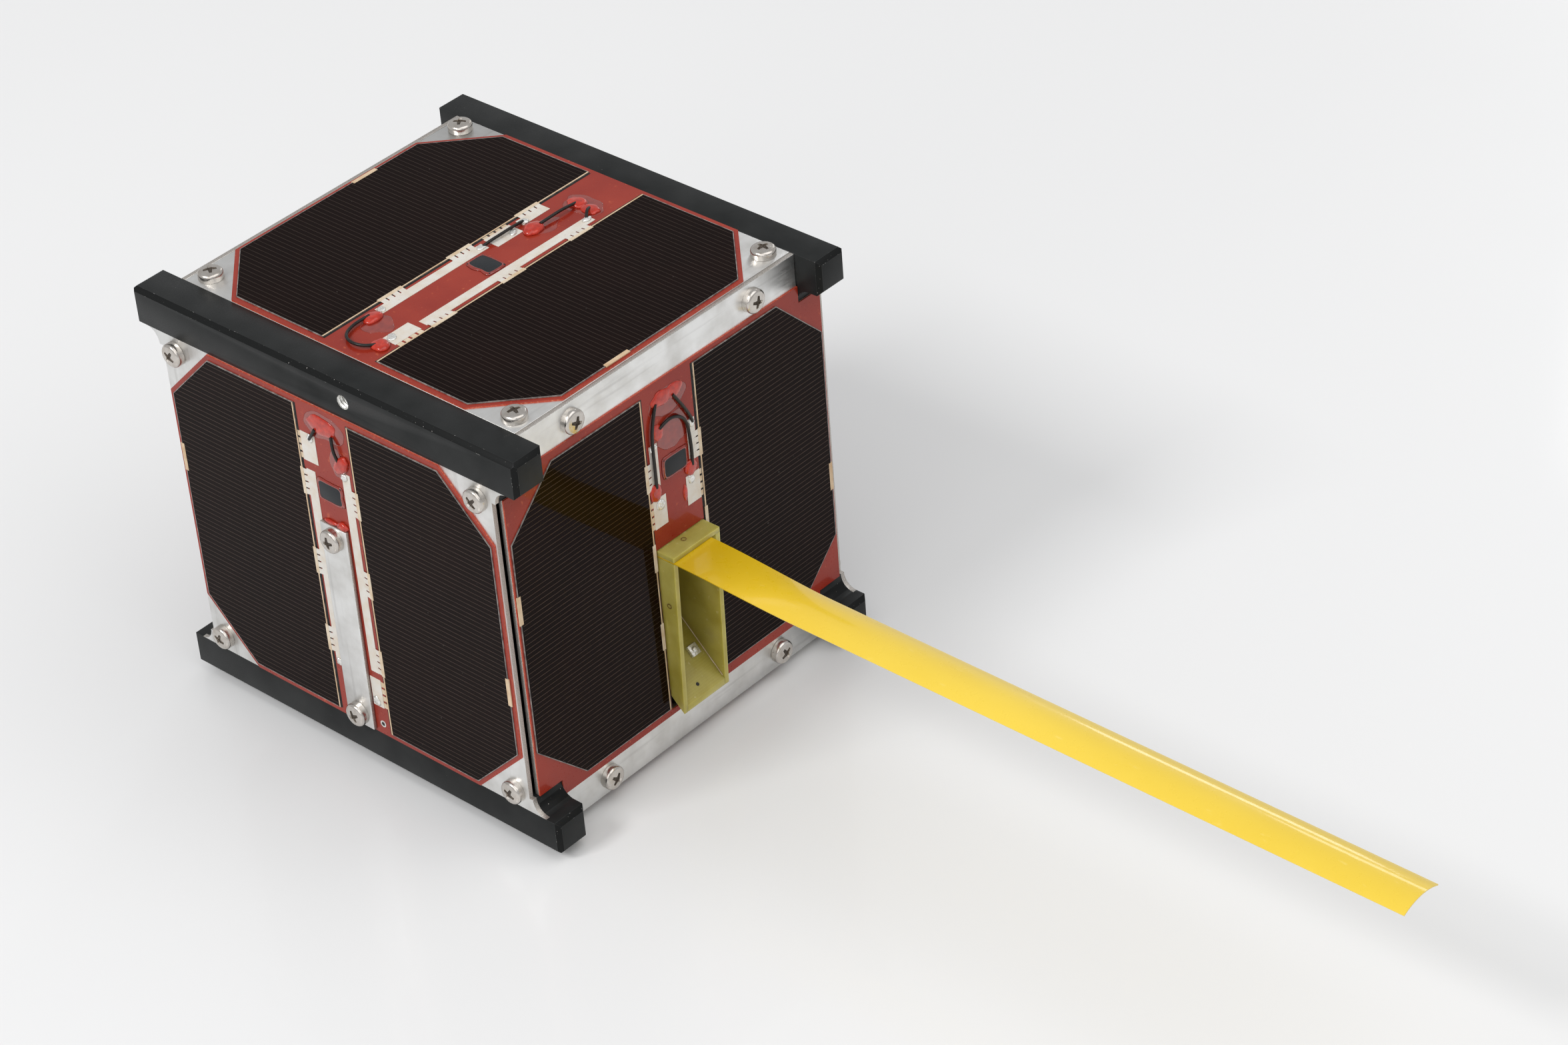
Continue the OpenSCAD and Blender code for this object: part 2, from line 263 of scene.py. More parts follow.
finishes = {
    "rail": layered("black_anodised", (9, 4, 0.3, 0.7), ((0.009, 0.010, 0.010), (0.019, 0.020, 0.020)),
                    (0.25, 3, 0.30, 0.46), (0.09, 2, 0.006, 0.6),
                    [((0.55, 2, 0.75, 0.80), (0.09, 0.09, 0.088))], Specular_IOR_Level=0.15),
    # The rails' chamfers: the same anodised metal with a darker base, which is painted shade for the dark room
    # they reflect, with pale specks of worn nicks.
    "chamfer": layered("chamfer_shade_and_nicks", (0.5, 4, 0.70, 0.74), ((0.006, 0.0065, 0.0065), (0.30, 0.29, 0.27)),
                       (0.3, 3, 0.34, 0.5), (0.2, 3, 0.01, 0.5), Specular_IOR_Level=0.12),
    "railEdge": layered("worn_rail_edge", (0.8, 5, 0.62, 0.66), ((0.020, 0.021, 0.021), (0.58, 0.57, 0.54)),
                        (0.4, 2, 0.25, 0.45), (0.3, 4, 0.03, 0.5), Metallic=0.25),
    "plateUp": rolledAluminium("rolled_plate_flat", (1, 0.04, 1)),
    "plateSide": rolledAluminium("rolled_plate_side", (1, 1, 0.04)),
    "plateEnd": rolledAluminium("rolled_plate_end", (1, 0.05, 1), 0.86),
    "strap": rolledAluminium("brushed_strap", (1, 1, 0.03), 0.82),
    "sawn": layered("sawn_aluminium", (0.16, 3, 0.35, 0.65), ((0.66, 0.63, 0.59), (0.36, 0.33, 0.30)),
                    (0.16, 3, 0.42, 0.62), (0.16, 3, 0.05, 0.7), Metallic=1.0),
    "board": layered("red_solder_mask", (14, 4, 0.35, 0.65), ((0.235, 0.016, 0.007), (0.290, 0.026, 0.011)),
                     (0.6, 3, 0.26, 0.36), (0.5, 3, 0.004, 0.5),
                     [((1.5, 4, 0.66, 0.74, 0.0, 0.55), (0.50, 0.10, 0.035)),
                      ((0.35, 1, 0.76, 0.80, 0.0, 0.6), (0.60, 0.22, 0.10))],
                     Coat_Weight=0.5, Coat_Roughness=0.04, Coat_IOR=1.33, Specular_IOR_Level=0.18),
    "boardEdge": layered("cut_board_edge", (0.42, 4, 0.52, 0.66), ((0.46, 0.05, 0.02), (0.56, 0.16, 0.085)),
                         (0.42, 4, 0.45, 0.65), (0.42, 4, 0.05, 0.6)),
    "cell": layered("dark_solar_cell", (22, 3, 0.3, 0.7), ((0.004, 0.0008, 0.0004), (0.006, 0.0014, 0.0008)),
                    (3, 3, 0.03, 0.07), (5, 2, 0.002, 0.2),
                    [((0.7, 1, 0.785, 0.83, 0.0, 0.5), (0.10, 0.09, 0.08))], IOR=1.14),
    "finger": layered("printed_finger", (2.5, 4, 0.3, 0.7), ((0.054, 0.035, 0.026), (0.090, 0.060, 0.046)),
                      (0.5, 2, 0.22, 0.38), Metallic=1.0),
    # A light grey that is painted highlight: the cover glass's edge catching the light.
    "rim": layered("cover_glass_rim_highlight", (1.2, 4, 0.35, 0.65), ((0.085, 0.070, 0.064), (0.27, 0.245, 0.225)),
                   (0.3, 2, 0.25, 0.45), Coat_Weight=0.5, Coat_Roughness=0.1),
    "silver": contactMetal("silver_contact", (0.68, 0.65, 0.60), (0.64, 0.57, 0.48), 0.15),
    "cream": contactMetal("cream_contact", (0.66, 0.56, 0.43), (0.56, 0.42, 0.27), 0.05),
    "tan": contactMetal("tan_tab", (0.64, 0.49, 0.33), (0.52, 0.35, 0.20), 0.05),
    "epoxy": layered("red_epoxy", (1.1, 4, 0.35, 0.65), ((0.34, 0.014, 0.005), (0.50, 0.028, 0.010)),
                     (0.8, 3, 0.14, 0.34), (0.7, 3, 0.07, 0.5),
                     [((1.8, 3, 0.62, 0.75, 0.0, 0.3), (0.60, 0.09, 0.04))],
                     Coat_Weight=0.9, Coat_Roughness=0.05, Coat_IOR=1.45, Specular_IOR_Level=0.2),
    "film": layered("thin_epoxy_film", (1.6, 4, 0.35, 0.65), ((0.190, 0.012, 0.006), (0.25, 0.020, 0.009)),
                    (1.2, 3, 0.12, 0.25), (1.0, 3, 0.03, 0.4),
                    [((0.9, 5, 0.66, 0.74, 0.0, 0.6), (0.52, 0.11, 0.04))],
                    Coat_Weight=1.0, Coat_Roughness=0.03, Coat_IOR=1.4),
    "solder": layered("solder", (0.35, 4, 0.35, 0.65), ((0.86, 0.86, 0.84), (0.62, 0.61, 0.57)),
                      (0.35, 4, 0.16, 0.40), (0.35, 4, 0.10, 0.7), Metallic=0.7),
    "wire": layered("black_wire_sleeve", (0.5, 3, 0.35, 0.7), ((0.006, 0.005, 0.0045), (0.016, 0.013, 0.011)),
                    (0.5, 3, 0.28, 0.45), (0.5, 3, 0.012, 0.5), Specular_IOR_Level=0.35),
    "sensor": layered("sensor_window", (0.18, 3, 0.35, 0.65), ((0.014, 0.016, 0.018), (0.024, 0.026, 0.029)),
                      (0.18, 3, 0.36, 0.52), (0.18, 3, 0.006, 0.5), Specular_IOR_Level=0.22),
    "steel": layered("polished_steel", (1.4, 4, 0.45, 0.75, 0.0, 0.5),
                     ((0.60, 0.565, 0.525), (0.42, 0.36, 0.30)), (0.5, 4, 0.16, 0.30),
                     (0.25, 3, 0.010, 0.5), Metallic=1.0),
    # A dark fill that is painted shade at the bottom of each screw's cross recess.
    "recess": layered("screw_recess_painted_shade", (0.3, 4, 0.35, 0.65),
                      ((0.035, 0.027, 0.021), (0.13, 0.105, 0.085)), (0.3, 4, 0.4, 0.6),
                      (0.3, 4, 0.03, 0.6), Metallic=0.6),
    "laminate": glassEpoxy(),
    "ring": layered("brown_hole_rim", (0.3, 3, 0.35, 0.65), ((0.26, 0.170, 0.035), (0.12, 0.070, 0.018)),
                    (0.3, 3, 0.35, 0.5)),
    # Near black: the electronics stack's own colour, and painted shade where it stands for the gaps under the
    # cells and the insides of holes.
    "dark": layered("stack_dark_and_painted_shade", (4, 3, 0.3, 0.7), ((0.004, 0.004, 0.004), (0.012, 0.011, 0.010)),
                    (2, 2, 0.5, 0.7)),
    "tape": yellowPaint(),
}
print("finishes made:", len(finishes))


def makeObject(name, mesh, materials=()):
    piece = bpy.data.objects.new(name, mesh)
    scene.collection.objects.link(piece)
    for material in materials:
        mesh.materials.append(material)
    return piece


def fromBmesh(name, shape, materials=(), smooth=False):
    mesh = bpy.data.meshes.new(name)
    shape.to_mesh(mesh)
    shape.free()
    if smooth:
        mesh.shade_smooth()
    return makeObject(name, mesh, materials)


# The same, with all faces turned outwards first.
def closedPiece(name, shape, materials=(), smooth=False):
    bmesh.ops.recalc_face_normals(shape, faces=shape.faces)
    return fromBmesh(name, shape, materials, smooth)


# Turns a piece with modifiers into one plain mesh.
def baked(piece):
    graph = bpy.context.evaluated_depsgraph_get()
    mesh = bpy.data.meshes.new_from_object(piece.evaluated_get(graph))
    piece.modifiers.clear()
    piece.data = mesh
    return piece


def settle(piece, slot, *nodes):
    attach(piece, "bus")
    if nodes:
        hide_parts(*nodes)
    return piece


# Joins two rings of as many vertices by a band of four-sided faces.
def addBand(shape, a, b):
    count = len(a)
    for k in range(count):
        j = (k + 1) % count
        shape.faces.new((a[k], a[j], b[j], b[k]))


# The points of a circle about the origin of a place, in millimetres.
def circle(place, radius, level, steps):
    angles = [2 * math.pi * k / steps for k in range(steps)]
    reach, high = radius * mm, level * mm
    return [place @ Vector((reach * math.cos(a), reach * math.sin(a), high)) for a in angles]


def addBox(shape, low, high, matrix):
    xs, ys, zs = zip(low, high)
    verts = [shape.verts.new(matrix @ Vector((x, y, z))) for x in xs for y in ys for z in zs]
    for ring in ((0, 1, 3, 2), (4, 6, 7, 5), (0, 4, 5, 1), (2, 3, 7, 6), (0, 2, 6, 4), (1, 5, 7, 3)):
        shape.faces.new([verts[i] for i in ring])


# Distances in millimetres and angles in degrees that clean and soften a copy of a CAD node.
softening = {"merge": 0.002, "flat": 1, "bevelAbove": 28, "sharpAbove": 32, "segments": 2}


# A merged copy of a CAD node, with softened edges, and a finish chosen face by face.
def dressNode(node, slot, materials, choose=None, bevel=0.0, edgeIndex=-1):
    shape = bmesh.new()
    shape.from_mesh(frame["nodes"][node].data)
    bmesh.ops.remove_doubles(shape, verts=shape.verts, dist=softening["merge"] * mm)
    bmesh.ops.dissolve_limit(shape, angle_limit=math.radians(softening["flat"]), verts=shape.verts,
                             edges=shape.edges)
    bmesh.ops.recalc_face_normals(shape, faces=shape.faces)
    for face in shape.faces:
        face.material_index = choose(face) if choose else 0
    piece = fromBmesh(node + "_look", shape, materials)
    if bevel:
        soften = piece.modifiers.new("soften", "BEVEL")
        soften.width = bevel * mm
        soften.segments = softening["segments"]
        soften.limit_method = "ANGLE"
        soften.angle_limit = math.radians(softening["bevelAbove"])
        soften.material = edgeIndex
        soften.harden_normals = False
        baked(piece)
    piece.data.shade_smooth()
    piece.data.set_sharp_from_angle(angle=math.radians(softening["sharpAbove"]))
    return settle(piece, slot, node)


# A tree with a geometry output and these named inputs: (label, socket type, value).
def newTree(name, inputs):
    tree = bpy.data.node_groups.new(name, "GeometryNodeTree")
    tree.interface.new_socket("Geometry", in_out="INPUT", socket_type="NodeSocketGeometry")
    for label, kind, value in inputs:
        socket = tree.interface.new_socket(label, in_out="INPUT", socket_type="NodeSocket" + kind)
        if value is not None:
            socket.default_value = value
    tree.interface.new_socket("Geometry", in_out="OUTPUT", socket_type="NodeSocketGeometry")
    tree.nodes.new("NodeGroupInput")
    tree.nodes.new("NodeGroupOutput")
    return tree


def put(tree, kind, inputs, **settings):
    node = tree.nodes.new(kind)
    for label, value in settings.items():
        setattr(node, label, value)
    for label, value in inputs.items():
        socket = node.inputs[label]
        if isinstance(value, bpy.types.NodeSocket):
            tree.links.new(value, socket)
        else:
            socket.default_value = value
    return node


def finishTree(tree, geometry):
    source = tree.nodes["Group Input"].outputs
    real = put(tree, "GeometryNodeRealizeInstances", {"Geometry": geometry})
    coloured = put(tree, "GeometryNodeSetMaterial",
                   {"Geometry": real.outputs["Geometry"], "Material": source["Material"]})
    tree.links.new(coloured.outputs["Geometry"], tree.nodes["Group Output"].inputs["Geometry"])


# Puts one piece on every point, turned as the point says and spun at random about its own axis.
def scatterTree():
    tree = newTree("scatter", [("Piece", "Object", None), ("Size", "Float", 1.0),
                               ("Spin Range", "Float", 0.0), ("Seed", "Int", 0),
                               ("Material", "Material", None)])
    source = tree.nodes["Group Input"].outputs
    piece = put(tree, "GeometryNodeObjectInfo", {"Object": source["Piece"], "As Instance": True})
    turn = put(tree, "GeometryNodeInputNamedAttribute", {"Name": "turn"}, data_type="FLOAT_VECTOR")
    rotation = put(tree, "FunctionNodeEulerToRotation", {"Euler": turn.outputs["Attribute"]})
    copies = put(tree, "GeometryNodeInstanceOnPoints",
                 {"Points": source["Geometry"], "Instance": piece.outputs["Geometry"],
                  "Rotation": rotation.outputs["Rotation"], "Scale": source["Size"]})
    spin = put(tree, "FunctionNodeRandomValue", {"Seed": source["Seed"]}, data_type="FLOAT")
    tree.links.new(source["Spin Range"], spin.inputs[3])  # the highest value, as a float
    about = put(tree, "ShaderNodeCombineXYZ", {"Z": spin.outputs[1]})
    spun = put(tree, "GeometryNodeRotateInstances",
               {"Instances": copies.outputs["Instances"], "Rotation": about.outputs["Vector"],
                "Local Space": True})
    finishTree(tree, spun.outputs["Instances"])
    return tree


# A row of printed lines across one cell, shorter where its two outer corners are cut off.
def fingerTree():
    tree = newTree("cell_fingers", [("Rows", "Int", 65), ("Pitch", "Float", 1.0), ("Width", "Float", 1.0),
                                    ("Thickness", "Float", 1.0), ("Inner Edge", "Float", 1.0),
                                    ("Length", "Float", 1.0), ("Straight Half", "Float", 1.0),
                                    ("Material", "Material", None)])
    source = tree.nodes["Group Input"].outputs

    def maths(operation, a, b=0.0):
        node = tree.nodes.new("ShaderNodeMath")
        node.operation = operation
        for slot, value in ((0, a), (1, b)):
            if isinstance(value, bpy.types.NodeSocket):
                tree.links.new(value, node.inputs[slot])
            else:
                node.inputs[slot].default_value = value
        return node.outputs[0]

    step = put(tree, "ShaderNodeCombineXYZ", {"Y": source["Pitch"]})
    reach = maths("MULTIPLY", maths("SUBTRACT", source["Rows"], 1), source["Pitch"])
    start = put(tree, "ShaderNodeCombineXYZ", {"Y": maths("MULTIPLY", reach, -0.5)})
    rows = put(tree, "GeometryNodeMeshLine",
               {"Count": source["Rows"], "Start Location": start.outputs[0], "Offset": step.outputs[0]})
    position = put(tree, "GeometryNodeInputPosition", {})
    height = put(tree, "ShaderNodeSeparateXYZ", {"Vector": position.outputs[0]})
    pastStraight = maths("SUBTRACT", maths("ABSOLUTE", height.outputs["Y"]), source["Straight Half"])
    length = maths("SUBTRACT", source["Length"], maths("MAXIMUM", pastStraight, 0))
    middle = maths("ADD", source["Inner Edge"], maths("MULTIPLY", length, 0.5))
    shift = put(tree, "ShaderNodeCombineXYZ", {"X": middle})
    size = put(tree, "ShaderNodeCombineXYZ", {"X": length, "Y": source["Width"], "Z": source["Thickness"]})
    stored = put(tree, "GeometryNodeStoreNamedAttribute",
                 {"Geometry": rows.outputs["Mesh"], "Name": "bar", "Value": size.outputs[0]},
                 data_type="FLOAT_VECTOR", domain="POINT")
    moved = put(tree, "GeometryNodeSetPosition",
                {"Geometry": stored.outputs["Geometry"], "Offset": shift.outputs[0]})
    bar = put(tree, "GeometryNodeInputNamedAttribute", {"Name": "bar"}, data_type="FLOAT_VECTOR")
    block = put(tree, "GeometryNodeMeshCube", {"Size": (1.0, 1.0, 1.0)})
    copies = put(tree, "GeometryNodeInstanceOnPoints",
                 {"Points": moved.outputs["Geometry"], "Instance": block.outputs["Mesh"],
                  "Scale": bar.outputs["Attribute"]})
    finishTree(tree, copies.outputs["Instances"])
    return tree


# Runs a tree on a carrier mesh and returns the plain object that it makes.
def runTree(name, tree, values, carrier):
    piece = makeObject(name, carrier)
    modifier = piece.modifiers.new(name, "NODES")
    modifier.node_group = tree
    sockets = {item.name: item.identifier for item in tree.interface.items_tree if item.in_out == "INPUT"}
    for label, value in values.items():
        modifier[sockets[label]] = value
    return baked(piece)


scatter = scatterTree()


# Copies of a master piece at these places, as one mesh.
def scatterPiece(name, slot, master, places, material, spinRange=0.0, seed=0, nodes=()):
    carrier = bpy.data.meshes.new(name)
    carrier.from_pydata([place.translation for place in places], [], [])
    turns = carrier.attributes.new("turn", "FLOAT_VECTOR", "POINT")
    for item, place in zip(turns.data, places):
        item.vector = place.to_euler()
    values = {"Piece": master, "Size": 1.0, "Spin Range": spinRange, "Seed": seed, "Material": material}
    piece = runTree(name, scatter, values, carrier)
    bpy.data.objects.remove(master)
    return settle(piece, slot, *nodes)


# The rails' edges and side hole, and the bare thread in that hole, in millimetres.
railLook = {"soft": 0.22, "chamferArea": 220, "slanted": 0.9, "holeRadius": 1.65, "holeSlack": 1.02}
thread = {"pitch": 0.7, "depth": 0.28, "turns": 7, "steps": 28, "start": 0.15, "footHalf": 0.42}
mounts = {mount["name"]: mount for mount in frame["record"]["mounts"]}
holeAt = Vector(mounts["side_threaded_hole"]["pos_m"])
holeRadius = railLook["holeRadius"] * mm


def makeRails():
    def choose(face):
        offset = face.calc_center_median() - holeAt
        near = math.hypot(offset.x, offset.z) < holeRadius * railLook["holeSlack"]
        if near and abs(face.normal.y) < railLook["slanted"]:
            return 2
        slanted = max(abs(part) for part in face.normal) < railLook["slanted"]
        return 3 if slanted and face.calc_area() < railLook["chamferArea"] * mm * mm else 0

    looks = [finishes[name] for name in ("rail", "railEdge", "solder", "chamfer")]
    for name in ("rail_top_left", "rail_top_right", "rail_bottom_left", "rail_bottom_right"):
        dressNode(name, "black_rail", looks, choose, railLook["soft"], edgeIndex=1)


# The thread that shows inside the hole: one helical ridge.
def makeThread():
    shape = bmesh.new()
    pitch, half = thread["pitch"] * mm, thread["footHalf"]
    profile = ((holeRadius, -half), (holeRadius - thread["depth"] * mm, 0.0), (holeRadius, half))
    rings = []
    for i in range(thread["turns"] * thread["steps"] + 1):
        angle = 2 * math.pi * i / thread["steps"]
        along = thread["start"] * mm + pitch * i / thread["steps"]
        ring = []
        for radius, slide in profile:
            spot = Vector((radius * math.cos(angle), along + slide * pitch, radius * math.sin(angle)))
            ring.append(shape.verts.new(holeAt + spot))
        rings.append(ring)
    for a, b in zip(rings, rings[1:]):
        addBand(shape, a, b)
    shape.faces.new(rings[0])
    shape.faces.new(rings[-1][::-1])
    settle(closedPiece("hole_thread", shape, [finishes["solder"]]), "black_rail")


makeRails()
makeThread()
print("rails made")

edgeRadius = {"plate": 0.1, "strap": 0.16, "sensor": 0.12}


# Every sheet has one finish on its two flat sides and another on its cut edges.
def flatOrCut(side):
    axis = Vector(faceAxes[side][1])
    return lambda face: 0 if abs(face.normal.dot(axis)) > 0.5 else 1


def makePlates():
    sheet = {"top": "plateUp", "bottom": "plateUp", "left": "plateSide", "right": "plateSide"}
    for side in faceAxes:
        choose = flatOrCut(side)
        look = finishes[sheet.get(side, "plateEnd")]
        dressNode(side + "_plate", "aluminium_plate", [look, finishes["sawn"]], choose, edgeRadius["plate"])
        dressNode(side + "_board", "red_board", [finishes["board"], finishes["boardEdge"]], choose)
        # The cells' cut edges take the rim's pale painted highlight.
        dressNode(side + "_cells", "solar_cell", [finishes["cell"], finishes["rim"]], choose)
    dressNode("left_strap", "aluminium_strap", [finishes["strap"], finishes["sawn"]], flatOrCut("left"),
              edgeRadius["strap"])
    dressNode("sun_sensors", "sensor_window", [finishes["sensor"]], bevel=edgeRadius["sensor"])
    dressNode("electronics_stack", "electronics", [finishes["dark"]])


makePlates()
print("plates, boards and cells made")

# Sizes of a cell and of what is printed on it, in millimetres, but rimSunk, rimProud and busProud count
# thicknesses of the print. The front's right-hand cell sits a step up.
cellsLow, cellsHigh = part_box("top_cells")
cell = {
    "reach": (cellsHigh.x - centre.x) / mm, "half": (cellsHigh.y - cellsLow.y) / 2 / mm,
    "width": 39.7, "cut": 13.4, "step": 0.8, "pitch": 1.22, "fingerWidth": 0.13, "print": 0.012,
    "rimWidth": 0.17, "rimSunk": 0.5, "rimProud": 0.9, "busWidth": 0.34, "busProud": 1.6, "busShort": 0.1,
    "margin": 0.5,
}
cell["inner"] = cell["reach"] - cell["width"]


# The two cells of every face, each as the place of its right-hand drawing.
def cellPlaces():
    for side in faceAxes:
        for spin in (0, math.pi):
            lift = cell["step"] * mm if side == "front" and spin == 0 else 0.0
            yield faceMatrix(side) @ Matrix.Translation((0, lift, 0)) @ Matrix.Rotation(spin, 4, "Z")


def joinCopies(name, source, places, materials):
    shape = bmesh.new()
    for place in places:
        copy = source.copy()
        copy.transform(place)
        shape.from_mesh(copy)
        bpy.data.meshes.remove(copy)
    return fromBmesh(name, shape, materials)


def makeFingers():
    values = {
        "Rows": int(2 * cell["half"] / cell["pitch"]), "Pitch": cell["pitch"] * mm,
        "Width": cell["fingerWidth"] * mm, "Thickness": cell["print"] * mm,
        "Inner Edge": (cell["inner"] + cell["busWidth"]) * mm,
        "Length": (cell["width"] - cell["busWidth"] - cell["margin"]) * mm,
        "Straight Half": (cell["half"] - cell["cut"]) * mm, "Material": finishes["finger"],
    }
    one = runTree("one_cell", fingerTree(), values, bpy.data.meshes.new("one_cell"))
    lift = Matrix.Translation((0, 0, cellLevel))
    places = [place @ lift for place in cellPlaces()]
    settle(joinCopies("cell_fingers", one.data, places, [finishes["finger"]]), "solar_cell")
    bpy.data.objects.remove(one)


# Corners of a cell, counter-clockwise, drawn in by inset millimetres.
def cellOutline(inset):
    a, b, v, cut = cell["inner"] + inset, cell["reach"] - inset, cell["half"] - inset, cell["cut"]
    cut = cut - inset * (2 - math.sqrt(2))
    return [(a, -v), (b - cut, -v), (b, -v + cut), (b, v - cut), (b - cut, v), (a, v)]


# A pale line of painted highlight where the cover glass ends, and the wider tan bar along the inner edge.
def makeRims():
    rims, bars = bmesh.new(), bmesh.new()
    outer, inner = cellOutline(0), cellOutline(cell["rimWidth"])
    step = cell["print"] * mm
    low, high = cellLevel - cell["rimSunk"] * step, cellLevel + cell["rimProud"] * step
    barHalf = (cell["half"] - cell["busShort"]) * mm
    barLow = (cell["inner"] * mm, -barHalf, low)
    barHigh = ((cell["inner"] + cell["busWidth"]) * mm, barHalf, cellLevel + cell["busProud"] * step)
    for place in cellPlaces():
        rings = []
        for outline, level in ((outer, low), (outer, high), (inner, high), (inner, low)):
            rings.append([rims.verts.new(place @ Vector((u * mm, v * mm, level))) for u, v in outline])
        for a, b in zip(rings, rings[1:] + rings[:1]):
            addBand(rims, a, b)
        addBox(bars, barLow, barHigh, place)
    settle(closedPiece("cell_rims", rims, [finishes["rim"]]), "solar_cell")
    settle(fromBmesh("cell_bus_bars", bars, [finishes["tan"]]), "solar_cell")


makeFingers()
makeRims()
print("fingers and rims made")

# What lies on the boards, in millimetres. A comb's teeth rise from the strip to the cell beside it.
foil = {"thick": 0.12, "soft": 0.03, "inner": 0.18}
gapLine = {"width": 0.5, "under": 0.1, "sunk": 0.01, "thick": 0.02}
comb = {"length": 6.9, "teeth": 4, "slit": 0.36, "barIn": 7.72, "barOut": 8.65, "barSunk": 0.02,
        "barProud": 0.09, "thick": 0.07, "foot": (6.0, 6.4), "footProud": 0.14, "tip": (7.57, 7.97),
        "tipProud": (0.03, 0.05)}
nub = {"count": 4, "out": 7.9, "half": 0.60, "length": 1.30, "high": 0.1}
tab = {"length": 7.1, "width": 1.05, "out": 0.32, "offMiddle": 10.2, "sunk": 0.22, "proud": 0.05}

# Strips and pads as (u from, u to, v from, v to), and combs as (side, v).
stripFaces = {
    "top": {"strips": [(-6.7, -4.2, -26.3, 5.2), (-6.9, -4.5, 16.0, 24.2), (4.2, 6.6, -24.1, 26.6)],
            "pads": [(-7.2, -2.8, 6.6, 14.2), (2.6, 6.6, -33.2, -25.7)],
            "combs": [(-1, -20.3), (-1, 0.1), (-1, 20.8), (1, -20.6), (1, 0.0), (1, 20.5)]},
    "side": {"strips": [(-6.9, -4.3, -27.5, 23.8), (4.2, 6.6, -24.3, 27.2)],
             "pads": [(-7.2, -2.8, 26.0, 33.3), (3.4, 6.6, -33.7, -26.1)],
             "combs": [(-1, 20.3), (-1, -0.4), (-1, -20.9), (1, 20.2), (1, -0.3), (1, -20.8)]},
    "end": {"strips": [(-6.7, -4.3, 17.0, 27.6), (4.8, 7.2, 17.7, 27.9)],
            "pads": [(-7.0, -3.1, 6.8, 14.1), (3.2, 7.3, 7.3, 14.6)],
            "combs": [(-1, 20.4), (1, 21.1)]},
}
patternOf = {"top": "top", "bottom": "top", "left": "side", "right": "side", "front": "end", "rear": "end"}
besideHousing = [(-1, 0.2), (-1, -20.3), (1, 1.0), (1, -19.6)]


# A foil rectangle with chamfered top edges and one more ring inside them.
def addSlab(shape, place, u0, u1, v0, v1, low, high):
    soft = foil["soft"]
    rings = []
    for inset, level in ((0.0, low), (0.0, high - soft * mm), (soft, high), (foil["inner"], high)):
        left, right, near, far = u0 + inset, u1 - inset, v0 + inset, v1 - inset
        corners = ((left, near), (right, near), (right, far), (left, far))
        rings.append([shape.verts.new(place @ Vector((u * mm, v * mm, level))) for u, v in corners])
    for a, b in zip(rings, rings[1:]):
        addBand(shape, a, b)
    shape.faces.new(rings[-1])
    shape.faces.new(rings[0][::-1])


def makeFoils():
    shape = bmesh.new()
    top = boardLevel + foil["thick"] * mm
    for side, name in patternOf.items():
        place = faceMatrix(side)
        pattern = stripFaces[name]
        for u0, u1, v0, v1 in pattern["strips"] + pattern["pads"]:
            addSlab(shape, place, u0, u1, v0, v1, boardLevel, top)
    settle(fromBmesh("contact_strips", shape, [finishes["silver"]]), "resistor_metal")


# A dark slab of painted shade where each cell's underside stands off its board.
def makeGaps():
    shape = bmesh.new()
    left, right = (cell["inner"] - gapLine["width"]) * mm, (cell["inner"] + gapLine["under"]) * mm
    low, high = boardLevel - gapLine["sunk"] * mm, boardLevel + gapLine["thick"] * mm
    reach = cell["half"] * mm
    for place in cellPlaces():
        addBox(shape, (left, -reach, low), (right, reach, high), place)
    settle(fromBmesh("cell_gap_lines", shape, [finishes["dark"]]), "solar_cell")


def combPlaces(pairs, side):
    return [onFace(side, 0, v, 0, 0 if hand > 0 else math.pi) for hand, v in pairs]


# The teeth of one comb, from the strip up to the cell, drawn on the right-hand side.
def combFingerMaster():
    shape = bmesh.new()
    pitch = comb["length"] / comb["teeth"]
    levels = (boardLevel + foil["thick"] * mm, boardLevel + comb["footProud"] * mm,
              *(cellLevel + proud * mm for proud in comb["tipProud"]))
    profile = list(zip(comb["foot"] + comb["tip"], levels))
    for i in range(comb["teeth"]):
        v0 = -comb["length"] / 2 + i * pitch + comb["slit"] / 2
        v1 = v0 + pitch - comb["slit"]
        a, b, c, d = [[shape.verts.new((u * mm, v * mm, w - drop)) for u, w in profile]
                      for drop in (0.0, comb["thick"] * mm) for v in (v0, v1)]
        for k in range(len(profile) - 1):
            for p, q in ((a, b), (b, d), (d, c), (c, a)):
                shape.faces.new((p[k], p[k + 1], q[k + 1], q[k]))
        shape.faces.new((a[0], b[0], d[0], c[0]))
        shape.faces.new((a[-1], c[-1], d[-1], b[-1]))
    return closedPiece("comb_finger_master", shape)


def slabMaster(name, u0, u1, length, low, high):
    shape = bmesh.new()
    addSlab(shape, Matrix.Identity(4), u0, u1, -length / 2, length / 2, low, high)
    return fromBmesh(name, shape)


# Beside the housing the combs show only their bars, while the rear has them whole.
def makeCombs():
    places = []
    for side, name in patternOf.items():
        places += combPlaces(stripFaces[name]["combs"], side)
    bars = places + combPlaces(besideHousing, "front")
    rearExtra = combPlaces(besideHousing, "rear")
    scatterPiece("comb_fingers", "resistor_metal", combFingerMaster(), places + rearExtra, finishes["silver"])
    bar = slabMaster("comb_bar_master", comb["barIn"], comb["barOut"], comb["length"],
                     cellLevel - comb["barSunk"] * mm, cellLevel + comb["barProud"] * mm)
    scatterPiece("comb_bars", "resistor_metal", bar, bars + rearExtra, finishes["cream"])


